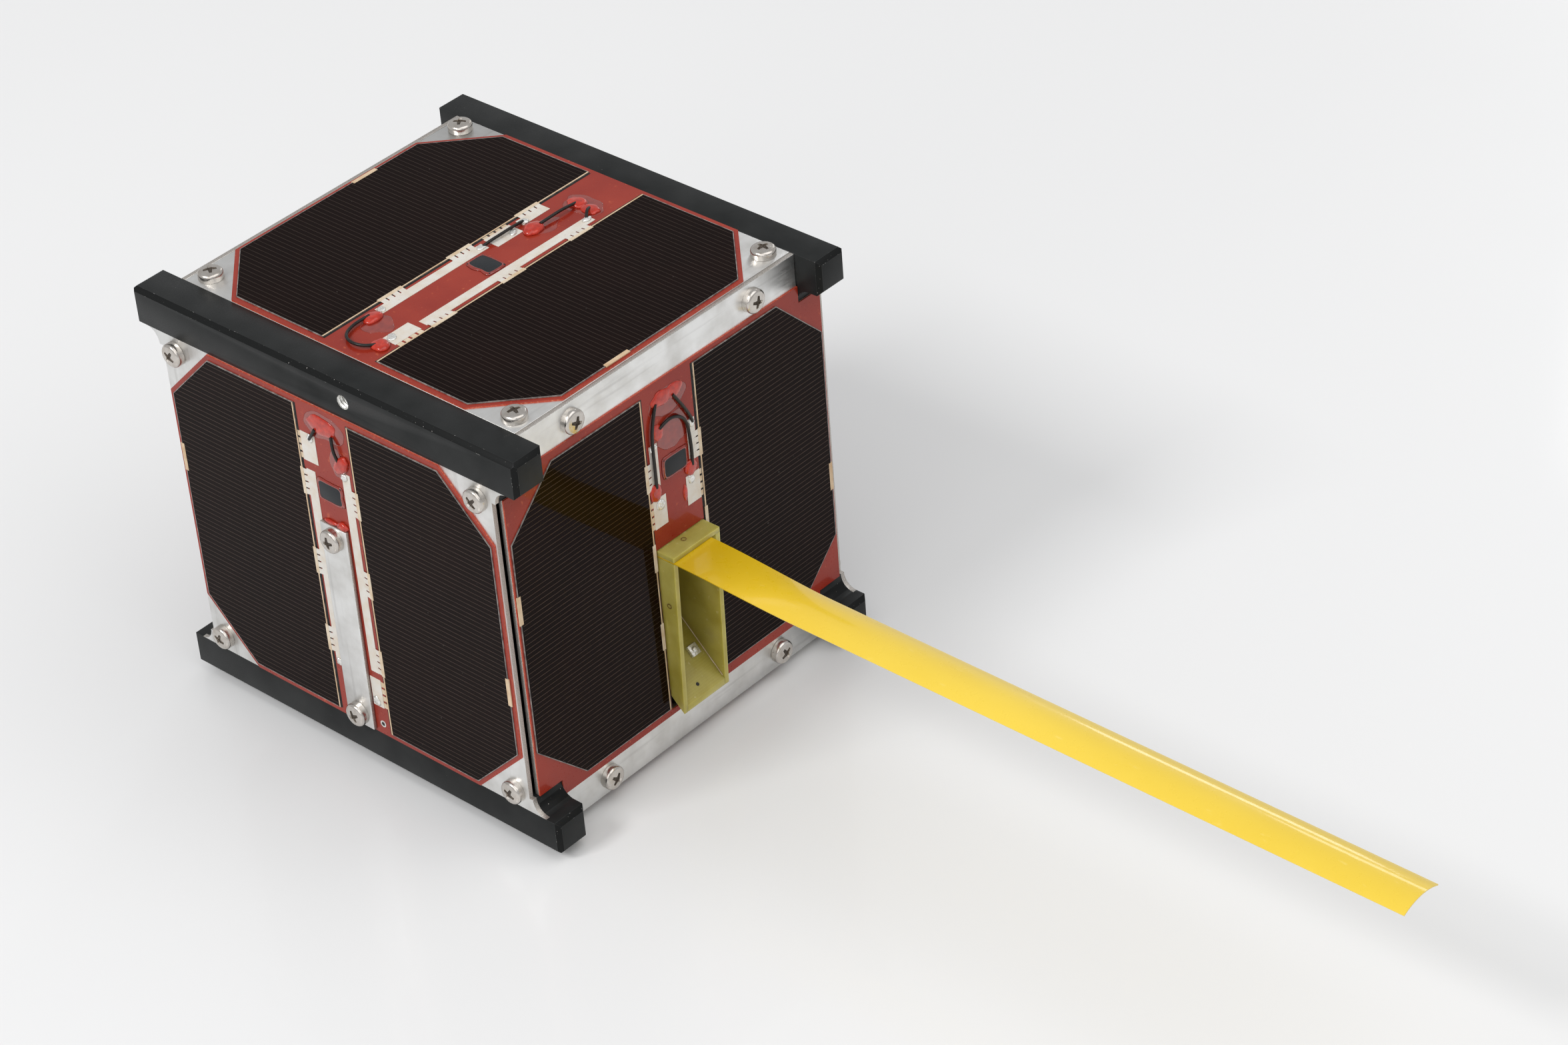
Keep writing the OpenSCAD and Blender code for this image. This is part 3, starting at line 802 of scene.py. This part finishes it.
# Short nubs from each pad towards the cell beside it.
def makeNubs():
    places = []
    for side, name in patternOf.items():
        for u0, u1, v0, v1 in stripFaces[name]["pads"]:
            hand = 1 if u0 + u1 > 0 else -1
            edge = max(abs(u0), abs(u1))
            pitch = (v1 - v0) / nub["count"]
            for i in range(nub["count"]):
                v = v0 + (i + 0.5) * pitch
                places.append(onFace(side, hand * (edge + nub["out"]) / 2, v, boardLevel))
    master = slabMaster("nub_master", -nub["half"], nub["half"], nub["length"], 0.0, nub["high"] * mm)
    scatterPiece("pad_nubs", "resistor_metal", master, places, finishes["cream"])


# Tan tabs over the outer edges of the cells.
def makeTabs():
    half = tab["width"] / 2
    places = []
    for side in faceAxes:
        for hand in (-1, 1):
            places.append(onFace(side, hand * (cell["reach"] + tab["out"] - half), -hand * tab["offMiddle"],
                                 cellLevel))
    master = slabMaster("tab_master", -half, half, tab["length"], -tab["sunk"] * mm, tab["proud"] * mm)
    scatterPiece("edge_tabs", "resistor_metal", master, places, finishes["tan"])


makeFoils()
makeGaps()
makeCombs()
makeNubs()
makeTabs()
print("contacts made")

# A drop's dome: how it rises and narrows, and the noise that makes it uneven.
dome = {"rise": 0.8, "reach": 0.62, "seedStep": (7.31, 3.17, 1.73), "wobble": 2, "wobbleScale": 1.4,
        "lump": 1.6, "lumpShift": 1.9, "lumpScale": 1.7}
dabKinds = {
    "epoxy": {"rough": 0.10, "rings": 9, "spokes": 26},
    "film": {"rough": 0.16, "rings": 6, "spokes": 40},
    "solder": {"rough": 0.22, "rings": 6, "spokes": 18},
    "dome": {"rough": 0.08, "rings": 8, "spokes": 20},
}


# A drop that has set on the board: an uneven oval with a soft domed top.
def addDab(shape, place, across, along, high, seed, rough, rings, spokes):
    origin = Vector([seed * step for step in dome["seedStep"]])
    levels = []
    for i in range(rings):
        t = i / (rings - 1)
        rise = math.sin(t * math.pi / 2) ** dome["rise"]
        reach = math.cos(t * math.pi / 2) ** dome["reach"] if t < 1 else 0
        ring = []
        for k in range(spokes if t < 1 else 1):
            angle = 2 * math.pi * k / spokes
            direction = Vector((math.cos(angle), math.sin(angle), 0))
            bulge = noise.noise(origin + direction * dome["wobbleScale"])
            wobble = 1 + rough * bulge * dome["wobble"]
            swell = noise.noise(origin * dome["lumpShift"] + direction * reach * dome["lumpScale"])
            lump = 1 + rough * dome["lump"] * swell
            x = direction.x * reach * across / 2 * wobble
            y = direction.y * reach * along / 2 * wobble
            ring.append(shape.verts.new(place @ Vector((x * mm, y * mm, rise * high * mm * lump))))
        levels.append(ring)
    for a, b in zip(levels, levels[1:-1]):
        addBand(shape, a, b)
    a, tip = levels[-2], levels[-1][0]
    for k in range(spokes):
        shape.faces.new((a[k], a[(k + 1) % spokes], tip))
    shape.faces.new(levels[0][::-1])


# Drops as (u, v, across, along, height, spin in degrees). Two that overlap make one lumpy drop.
epoxyFaces = {
    "top": [(-4.6, -28.9, 3.7, 4.9, 0.9, 12), (4.2, -35.3, 4.4, 4.3, 1.0, 0),
            (-1.5, 16.0, 4.2, 5.6, 1.1, 20), (-1.2, 29.2, 5.2, 4.0, 0.9, 0), (3.0, 29.0, 4.6, 3.6, 0.7, 8)],
    "left": [(0.0, 37.0, 8.7, 4.5, 0.42, 0), (4.6, 29.2, 3.3, 5.6, 1.0, -38),
             (2.2, 12.6, 3.4, 1.9, 0.9, 0), (-1.4, 12.3, 4.0, 1.2, 0.6, 0)],
    "right": [(0.0, 37.0, 8.6, 4.3, 0.42, 0), (4.6, 29.2, 3.2, 5.4, 1.0, -38)],
    "front": [(-1.8, 37.4, 5.8, 3.9, 0.45, 0), (2.0, 37.4, 5.4, 3.7, 0.35, 0),
              (-3.6, 29.8, 3.1, 4.2, 0.35, 15), (-6.0, 15.9, 3.4, 4.4, 0.7, 12),
              (4.9, 16.4, 3.5, 4.2, 0.7, -10), (2.7, 10.9, 1.3, 4.0, 0.25, 0)],
}
epoxyFaces["bottom"] = epoxyFaces["top"]
epoxyFaces["rear"] = epoxyFaces["front"]
filmFaces = {
    "top": [(-2.2, -29.8, 7.6, 6.6, 0.03, 10), (-0.6, 18.5, 5.0, 7.5, 0.03, 0),
            (0.6, 29.4, 10.8, 6.6, 0.03, 4)],
    "side": [(0.4, 36.6, 11.0, 6.4, 0.03, 0), (3.6, 29.0, 4.6, 8.0, 0.03, 0)],
    "end": [(0.0, 36.4, 11.4, 7.0, 0.03, 0), (1.6, 27.8, 10.4, 8.6, 0.03, 0)],
}
solderFaces = {
    "top": [(-5.4, -25.6, 1.9, 1.9, 0.35, 0), (4.0, -31.8, 2.1, 2.6, 0.35, 20), (-5.5, 4.2, 1.9, 2.2, 0.4, 0),
            (-4.2, 12.5, 1.6, 2.6, 0.5, 35), (-5.3, 16.9, 1.8, 2.2, 0.5, 0), (5.1, 25.6, 1.7, 2.6, 0.45, 10)],
    "side": [(-4.2, 32.4, 1.7, 2.0, 0.4, 0), (5.0, 26.2, 1.8, 1.9, 0.45, 0), (-5.8, -26.5, 2.0, 1.9, 0.35, 0),
             (4.6, -32.2, 2.3, 2.4, 0.4, 0)],
    "end": [(-5.9, 26.7, 1.5, 1.6, 0.4, 0), (-4.9, 26.9, 0.9, 1.3, 0.35, 0), (6.3, 27.0, 1.7, 2.1, 0.45, 0),
            (-5.0, 12.2, 2.5, 2.4, 0.3, 25), (4.8, 13.3, 1.9, 2.2, 0.3, 0)],
}


def makeDabs():
    films = {side: filmFaces[name] for side, name in patternOf.items()}
    joints = {side: solderFaces[name] for side, name in patternOf.items()}
    layers = (("epoxy_drops", epoxyFaces, "epoxy", "red_board", 0.0),
              ("epoxy_films", films, "film", "red_board", 0.0),
              ("solder_joints", joints, "solder", "resistor_metal", foil["thick"]))
    seed = 0
    for name, faces, kind, slot, lift in layers:
        shape = bmesh.new()
        for side, drops in faces.items():
            for u, v, across, along, high, spin in drops:
                seed += 1
                place = onFace(side, u, v, boardLevel + lift * mm, math.radians(spin))
                addDab(shape, place, across, along, high, seed, **dabKinds[kind])
        settle(fromBmesh(name, shape, [finishes[kind]], smooth=True), slot)


# The middle of each sensor, half the collar's size, and its section as (growth, height, unevenness).
collar = {"top": (0.1, -0.1), "side": (-0.1, 20.2), "end": (0.4, 20.0), "halfU": 3.4, "halfV": 2.4,
          "square": 7, "steps": 72, "waves": 2, "seedStep": 3.7,
          "section": [(-0.22, 0.30, 0.08), (-0.16, 0.37, 0.14), (0.03, 0.38, 0.16), (0.26, 0.18, 0.24),
                      (0.50, 0.0, 0.40)]}


# The set epoxy around each sensor, which hides its edges and corners.
def makeCollars():
    shape = bmesh.new()
    steps, power, waves = collar["steps"], collar["square"], collar["waves"]
    for number, (side, name) in enumerate(patternOf.items()):
        place = onFace(side, *collar[name], boardLevel)
        rings = []
        for grow, level, shake in collar["section"]:
            ring = []
            for k in range(steps):
                angle = 2 * math.pi * k / steps
                c, t = math.cos(angle), math.sin(angle)
                reach = (abs(c) ** power + abs(t) ** power) ** (-1 / power)
                spot = Vector((c * waves, t * waves, number * collar["seedStep"]))
                grown = grow + shake * noise.noise(spot)
                x, y = (collar["halfU"] + grown) * reach * c, (collar["halfV"] + grown) * reach * t
                ring.append(shape.verts.new(place @ (Vector((x, y, level)) * mm)))
            rings.append(ring)
        for a, b in zip(rings, rings[1:] + rings[:1]):
            addBand(shape, a, b)
    settle(closedPiece("sensor_collars", shape, [finishes["film"]], smooth=True), "red_board")


# A wire's radius and smoothness, and the wires as lists of (u, v, height above the board).
wire = {"radius": 0.36, "sides": 3, "steps": 5}
wireFaces = {
    "top": [[(-5.2, -29.2, 0.7), (-5.5, -32.0, 0.7), (-5.0, -35.2, 0.7), (-3.6, -37.6, 0.8),
             (-1.2, -38.7, 0.8), (1.2, -38.5, 0.8), (3.0, -37.3, 0.7), (4.0, -35.8, 0.6)],
            [(-1.0, 17.6, 0.9), (-1.0, 20.5, 1.0), (-0.8, 24.0, 1.2), (-0.7, 27.0, 1.0), (-1.0, 28.6, 0.6)],
            [(2.8, 28.8, 0.6), (3.4, 27.6, 1.1), (4.3, 26.4, 0.8), (5.0, 25.6, 0.4)],
            [(-5.3, 4.6, 0.4), (-5.0, 6.0, 0.8), (-4.9, 10.0, 0.9), (-5.0, 14.2, 0.9), (-5.2, 16.6, 0.5)]],
    "side": [[(-2.0, 35.6, 0.4), (-3.0, 33.8, 0.8), (-4.1, 32.4, 0.4)],
             [(2.9, 35.6, 0.4), (3.4, 33.6, 0.9), (4.0, 31.4, 0.9), (4.3, 29.8, 0.5)]],
    "end": [[(-3.8, 37.0, 0.3), (-5.2, 34.0, 0.6), (-6.0, 30.5, 0.65), (-6.1, 26.0, 0.65),
             (-6.0, 21.0, 0.65), (-5.9, 17.2, 0.5)],
            [(-3.3, 30.6, 0.3), (-1.4, 31.7, 0.55), (0.8, 31.6, 0.6), (3.0, 30.4, 0.6),
             (4.6, 28.0, 0.6), (5.0, 24.0, 0.6), (5.2, 20.0, 0.6), (5.1, 17.0, 0.5)],
            [(1.4, 36.6, 0.3), (2.6, 34.6, 0.6), (4.2, 31.8, 0.7), (6.1, 28.3, 0.5), (6.3, 27.2, 0.4)]],
}


def makeWires():
    curve = bpy.data.curves.new("jumper_wires", "CURVE")
    curve.dimensions = "3D"
    curve.bevel_depth = wire["radius"] * mm
    curve.bevel_resolution = wire["sides"]
    curve.use_fill_caps = True
    curve.resolution_u = wire["steps"]
    for side, name in patternOf.items():
        for points in wireFaces[name]:
            spline = curve.splines.new("NURBS")
            spline.points.add(len(points) - 1)
            spline.use_endpoint_u = True
            spline.order_u = 3
            for item, (u, v, high) in zip(spline.points, points):
                item.co = (*onFace(side, u, v, boardLevel + high * mm).translation, 1)
    drawn = makeObject("wire_curves", curve)
    graph = bpy.context.evaluated_depsgraph_get()
    mesh = bpy.data.meshes.new_from_object(drawn.evaluated_get(graph))
    bpy.data.objects.remove(drawn)
    mesh.materials.clear()
    mesh.shade_smooth()
    settle(makeObject("jumper_wires", mesh, [finishes["wire"]]), "electronics")


makeDabs()
makeCollars()
makeWires()
print("drops, solder and wires made")

# A pan head with a cross recess, and where the screws stand, in millimetres from the middle of a face.
screw = {"radius": 2.8, "high": 2.2, "wall": 1.15, "crown": 0.28, "foot": 0.06, "shoulderSteps": 6,
         "crownSteps": 5, "sides": 40, "sharpAbove": 40, "recess": 1.6, "slot": 0.66, "flare": 1.5,
         "deep": 1.0, "above": 0.2, "narrow": 0.72, "sideU": 45.0, "sideV": 37.5, "barU": 27.4,
         "barV": 46.0, "strapInset": 3.15, "strapLean": 0.5, "seed": 11}
# The dark block of painted shade in each recess: its depths in millimetres, and its sizes as parts of the cross.
shadeFill = {"under": 0.05, "down": 0.55, "lowSize": 0.70, "highSize": 0.90}


# A cross that narrows downwards, between two heights above a screw's seat.
def crossBlock(name, low, high, lowSize, highSize):
    a, b = screw["recess"], screw["slot"] / 2
    inner = b * screw["flare"]
    quarter = [(a, -b), (a, b), (inner, inner)]
    turns = ((1, 0), (0, 1), (-1, 0), (0, -1))
    outline = [(x * c - y * s, x * s + y * c) for c, s in turns for x, y in quarter]
    shape = bmesh.new()
    top = [shape.verts.new((x * highSize * mm, y * highSize * mm, high * mm)) for x, y in outline]
    bottom = [shape.verts.new((x * lowSize * mm, y * lowSize * mm, low * mm)) for x, y in outline]
    shape.faces.new(top)
    shape.faces.new(bottom[::-1])
    addBand(shape, bottom, top)
    return closedPiece(name, shape)


# The head stands on its own plane: wall, rounded shoulder, flatter crown, then the recess is cut.
def screwMaster():
    r, high, wall, foot = screw["radius"], screw["high"], screw["wall"], screw["foot"]
    shoulder = high - wall - screw["crown"]
    flat = r - shoulder
    profile = [(0, 0), (r - foot, 0), (r, foot), (r, wall)]
    for i in range(1, screw["shoulderSteps"] + 1):
        angle = math.pi / 2 * i / screw["shoulderSteps"]
        profile.append((r - shoulder * (1 - math.cos(angle)), wall + shoulder * math.sin(angle)))
    for i in range(1, screw["crownSteps"] + 1):
        t = i / screw["crownSteps"]
        profile.append((flat * (1 - t), wall + shoulder + screw["crown"] * math.sin(t * math.pi / 2)))
    shape = bmesh.new()
    verts = [shape.verts.new((x * mm, 0, z * mm)) for x, z in profile]
    edges = [shape.edges.new(pair) for pair in zip(verts, verts[1:])]
    bmesh.ops.spin(shape, geom=verts + edges, cent=(0, 0, 0), axis=(0, 0, 1), angle=2 * math.pi,
                   steps=screw["sides"], use_duplicate=False)
    bmesh.ops.remove_doubles(shape, verts=shape.verts, dist=0.001 * mm)
    head = closedPiece("screw_master", shape, smooth=True)
    tool = crossBlock("recess_cutter", high - screw["deep"], high + screw["above"], screw["narrow"], 1.0)
    cut = head.modifiers.new("recess", "BOOLEAN")
    cut.operation = "DIFFERENCE"
    cut.solver = "EXACT"
    cut.object = tool
    baked(head)
    bpy.data.objects.remove(tool)
    head.data.set_sharp_from_angle(angle=math.radians(screw["sharpAbove"]))
    return head


def screwPlaces():
    for sides, u, v in ((("top", "bottom", "left", "right"), screw["sideU"], screw["sideV"]),
                        (("front", "rear"), screw["barU"], screw["barV"])):
        for side in sides:
            for alongU in (-u, u):
                for alongV in (-v, v):
                    yield onFace(side, alongU, alongV, plateLevel)
    low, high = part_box("left_strap")
    middle, half = (low + high) / 2, (high.z - low.z) / 2
    lean = math.radians(screw["strapLean"])
    for sign in (-1, 1):
        reach = sign * (half - screw["strapInset"] * mm)
        u, v = middle.x - centre.x + reach * math.sin(lean), middle.z - centre.z + reach
        yield onFace("left", u / mm, v / mm, strapLevel)


# Both pieces draw the same random turns, so the dark block of painted shade lies in its recess.
def makeScrews():
    recessShadeBlock = crossBlock("recess_dirt_master", screw["high"] - screw["deep"] - shadeFill["under"],
                            screw["high"] - shadeFill["down"], shadeFill["lowSize"], shadeFill["highSize"])
    places = list(screwPlaces())
    scatterPiece("panel_screws", "screw_steel", screwMaster(), places, finishes["steel"],
                 spinRange=math.pi / 2, seed=screw["seed"], nodes=("bottom_screws",))
    scatterPiece("screw_recesses", "screw_steel", recessShadeBlock, places, finishes["recess"],
                 spinRange=math.pi / 2, seed=screw["seed"])


makeScrews()
print("screws made")

# Marks on the housing, each placed from the housing's own corners, in millimetres.
housing = {
    "soft": 0.09, "ringOut": 0.66, "ringIn": 0.42, "ringHigh": 0.05, "steps": 26,
    "roofRing": {"in": 3.1, "y": -0.6}, "wallRing": {"in": 2.6, "down": 13.5},
    "hole": {"radius": 0.42, "thick": 0.02, "up": 1.75, "y": -0.7}, "rampThick": 1.2,
}
plated = {"u": 5.4, "v": -38.4, "radius": 0.85, "hole": 0.5, "thick": 0.06}
seam = {"fat": 0.16, "uneven": 0.35, "lumps": 0.37, "start": 0.6, "step": 0.42, "count": 31,
        "section": ((0, 0.5, 0), (0.5, -0.3, 0.5), (0.1, -1.0, 0.1), (-0.6, 0.2, -0.6))}
resistor = {"soft": 0.12, "slide": (0.55, -1.05, -0.75), "scale": 0.78, "domeWide": 1.4, "domeHigh": 0.6,
            "domeUp": 0.35, "seed": 77}
rampTurn = Matrix.Rotation(math.radians(45), 4, "Y")


def addRing(shape, place, outer, inner, high):
    levels = ((outer, 0.0), (outer, high), (inner, high), (inner, 0.0))
    rings = [[shape.verts.new(spot) for spot in circle(place, radius, level, housing["steps"])]
             for radius, level in levels]
    for a, b in zip(rings, rings[1:] + rings[:1]):
        addBand(shape, a, b)


def addDisc(shape, place, radius, high):
    low, top = [[shape.verts.new(spot) for spot in circle(place, radius, level, housing["steps"])]
                for level in (0.0, high)]
    addBand(shape, low, top)
    shape.faces.new(top)
    shape.faces.new(low[::-1])


# The lowest front point of the ramp's upper side.
def rampFoot(y):
    low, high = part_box("housing_ramp")
    return Vector((high.x, y, low.z + housing["rampThick"] * math.sqrt(2) * mm))


# The plated hole near the lower end of each upright side board: a solder ring round a flat dark disc of painted
# shade for the hole.
def makeBoardHoles():
    rims, holes = bmesh.new(), bmesh.new()
    for side in ("left", "right"):
        place = onFace(side, plated["u"], plated["v"], boardLevel)
        addRing(rims, place, plated["radius"], plated["hole"], plated["thick"])
        addDisc(holes, place, plated["hole"], plated["thick"] / 4)
    settle(closedPiece("plated_hole_rims", rims, [finishes["solder"]]), "resistor_metal")
    settle(fromBmesh("plated_holes", holes, [finishes["dark"]]), "electronics")


# Five laminate parts, a brown ring on the roof and on the left wall, and a thin dark disc of painted shade for a
# small hole in the ramp.
def makeHousing():
    for part in ("housing_roof", "housing_left_wall", "housing_right_wall", "housing_ramp", "housing_back"):
        dressNode(part, "glass_epoxy", [finishes["laminate"]], bevel=housing["soft"])
    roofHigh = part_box("housing_roof")[1]
    wallLow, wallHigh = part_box("housing_left_wall")
    roofRing, wallRing, hole = housing["roofRing"], housing["wallRing"], housing["hole"]
    onRoof = (roofHigh.x - roofRing["in"] * mm, roofRing["y"] * mm, roofHigh.z)
    onWall = (wallHigh.x - wallRing["in"] * mm, wallLow.y, roofHigh.z - wallRing["down"] * mm)
    shape = bmesh.new()
    for spot, lie in ((onRoof, 0.0), (onWall, math.pi / 2)):
        place = Matrix.Translation(spot) @ Matrix.Rotation(lie, 4, "X")
        addRing(shape, place, housing["ringOut"], housing["ringIn"], housing["ringHigh"])
    settle(closedPiece("housing_rings", shape, [finishes["ring"]]), "glass_epoxy")
    shape = bmesh.new()
    spot = rampFoot(hole["y"] * mm) + Vector((-1, 0, 1)) * hole["up"] * mm
    addDisc(shape, Matrix.Translation(spot) @ rampTurn, hole["radius"], hole["thick"])
    settle(fromBmesh("ramp_hole", shape, [finishes["dark"]]), "glass_epoxy")


# The bead of adhesive where the ramp meets the right wall.
def makeSeam():
    foot = rampFoot(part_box("housing_right_wall")[0].y)
    shape = bmesh.new()
    rings = []
    for i in range(seam["count"]):
        along = (seam["start"] + seam["step"] * i) * mm
        lump = noise.noise(Vector((i * seam["lumps"], 2.0, 5.0)))
        fat = seam["fat"] * (1 + seam["uneven"] * lump) * mm
        spot = foot + Vector((-along, 0, along))
        rings.append([shape.verts.new(spot + Vector(offset) * fat) for offset in seam["section"]])
    for a, b in zip(rings, rings[1:]):
        addBand(shape, a, b)
    shape.faces.new(rings[0][::-1])
    shape.faces.new(rings[-1])
    settle(closedPiece("housing_seam", shape, [finishes["cream"]], smooth=True), "glass_epoxy")


# The resistor, a little smaller than its block and lower on the ramp, with a dome of solder on it.
def makeResistor():
    low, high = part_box("burn_resistor")
    middle = (low + high) / 2
    slide = Matrix.Translation(Vector(resistor["slide"]) * mm) @ Matrix.Translation(middle)
    piece = dressNode("burn_resistor", "resistor_metal", [finishes["solder"]], bevel=resistor["soft"])
    piece.data.transform(slide @ Matrix.Scale(resistor["scale"], 4) @ Matrix.Translation(-middle))
    shape = bmesh.new()
    place = slide @ rampTurn @ Matrix.Translation((0, 0, resistor["domeUp"] * mm))
    addDab(shape, place, resistor["domeWide"], resistor["domeWide"], resistor["domeHigh"], resistor["seed"],
           **dabKinds["dome"])
    settle(fromBmesh("resistor_dome", shape, [finishes["solder"]], smooth=True), "resistor_metal")


makeBoardHoles()
makeHousing()
makeSeam()
makeResistor()
print("housing made")

# The tape in millimetres and degrees: radius is across its arc once it has curved up fully.
tape = {"width": 11.7, "thick": 0.25, "radius": 12.5, "curvedAfter": 34, "turn": 0.7, "droop": 0.7,
        "tipShort": 0.07, "across": 20, "along": 150, "bendHalf": 5.0, "sharpAbove": 40}


# One strip of sprung steel: flat where it leaves the housing, and arched across further out.
def makeTape():
    rootLow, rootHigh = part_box("antenna_root")
    fold = Vector(frame["joints"][0]["pos_m"])
    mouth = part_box("housing_roof")[1].x
    side = (rootLow.y + rootHigh.y) / 2
    start, tip = rootLow.x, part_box("antenna_tape")[1].x
    end = tip - tape["tipShort"] * mm
    aside = math.tan(math.radians(tape["turn"])) * (tip - fold.x)
    drop = math.tan(math.radians(tape["droop"]))
    shape = bmesh.new()
    rings = []
    for i in range(tape["along"] + 1):
        x = start + (end - start) * (i / tape["along"])
        past = max(0.0, (x - fold.x) / (end - fold.x))
        curl = min(1.0, max(0.0, (x - mouth) / mm / tape["curvedAfter"]))
        curl = curl * curl * (3 - 2 * curl)
        half = tape["width"] / 2 / tape["radius"] * max(curl, 0.001)
        radius = tape["width"] / 2 / half
        y0 = side + aside * past
        z0 = rootHigh.z - drop * max(0.0, x - fold.x)
        angles = [half * (2 * k / tape["across"] - 1) for k in range(tape["across"] + 1)]
        loop = []
        for r, line in ((radius, angles), (radius - tape["thick"], angles[::-1])):
            for a in line:
                z = z0 + (r * math.cos(a) - radius) * mm
                loop.append(shape.verts.new((x, y0 + r * mm * math.sin(a), z)))
        rings.append(loop)
    for a, b in zip(rings, rings[1:]):
        addBand(shape, a, b)
    shape.faces.new(rings[0][::-1])
    shape.faces.new(rings[-1])
    piece = closedPiece("tape_antenna", shape, [finishes["tape"]], smooth=True)
    piece.data.set_sharp_from_angle(angle=math.radians(tape["sharpAbove"]))
    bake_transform(piece)
    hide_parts("antenna_root", "antenna_tape")


makeTape()
print("tape made")

# The camera's place from the middle of the cube in millimetres, its angles in degrees and its lens.
view = {"place": (572.4, -509.3, 522.8), "heading": 43.98, "dip": 35.51, "roll": -4.57, "lens": 97.7,
        "sensor": 36, "clip": 0.05}
table = {"reach": 4.0, "tone": 0.765, "uneven": 1.02}
# Each softbox: its place from the middle of the cube in metres, its power and its size.
studio = {
    "world": 0.56, "sky": (0.985, 0.99, 1.0),
    "lamps": {
        "key": ((-0.63, -2.50, 2.66), 60.0, 1.0), "overhead": ((1.5, 0.4, 2.7), 34.0, 3.0),
        "camera side": ((0.9, -1.7, 1.3), 11.0, 1.8), "back strip": ((-0.75, 1.75, 0.62), 0.55, 0.22),
        "back panel": ((-0.70, 1.80, 1.10), 0.55, 0.22),
    },
}


def makeCamera():
    data = bpy.data.cameras.new("camera")
    data.lens = view["lens"]
    data.sensor_width = view["sensor"]
    data.clip_start = view["clip"]
    camera = bpy.data.objects.new("camera", data)
    scene.collection.objects.link(camera)
    turn = (Matrix.Rotation(math.radians(view["heading"]), 4, "Z")
            @ Matrix.Rotation(math.radians(90 - view["dip"]), 4, "X")
            @ Matrix.Rotation(math.radians(view["roll"]), 4, "Z"))
    camera.matrix_world = Matrix.Translation(centre + Vector(view["place"]) * mm) @ turn
    scene.camera = camera


# A plain pale table, barely clouded.
def makeFloor():
    shape = bmesh.new()
    reach = table["reach"]
    corners = ((-reach, -reach), (reach, -reach), (reach, reach), (-reach, reach))
    shape.faces.new([shape.verts.new((x, y, 0)) for x, y in corners])
    tones = [(tone, tone, tone) for tone in (table["tone"], table["tone"] * table["uneven"])]
    look = layered("white_table", (300, 2, 0.3, 0.7), tones, (60, 2, 0.30, 0.36), Coat_Weight=0.25,
                   Coat_Roughness=0.08, Specular_IOR_Level=0.35)
    fromBmesh("table", shape, [look])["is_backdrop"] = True


def makeLights():
    world = bpy.data.worlds.new("studio")
    scene.world = world
    world.use_nodes = True
    background = world.node_tree.nodes["Background"].inputs
    background["Color"].default_value = (*studio["sky"], 1)
    background["Strength"].default_value = studio["world"]
    for name, (offset, power, size) in studio["lamps"].items():
        data = bpy.data.lights.new(name, "AREA")
        data.shape = "SQUARE"
        data.size = size
        data.energy = power
        lamp = bpy.data.objects.new(name, data)
        scene.collection.objects.link(lamp)
        lamp.location = centre + Vector(offset)
        lamp.rotation_euler = (-Vector(offset)).to_track_quat("-Z", "Y").to_euler()


makeCamera()
makeFloor()
makeLights()
scene.view_settings.view_transform = "Standard"
print("camera, floor and light made")

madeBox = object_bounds()
for low, high in (cadBox, madeBox):
    str([list(low), list(high)]) + "\n"
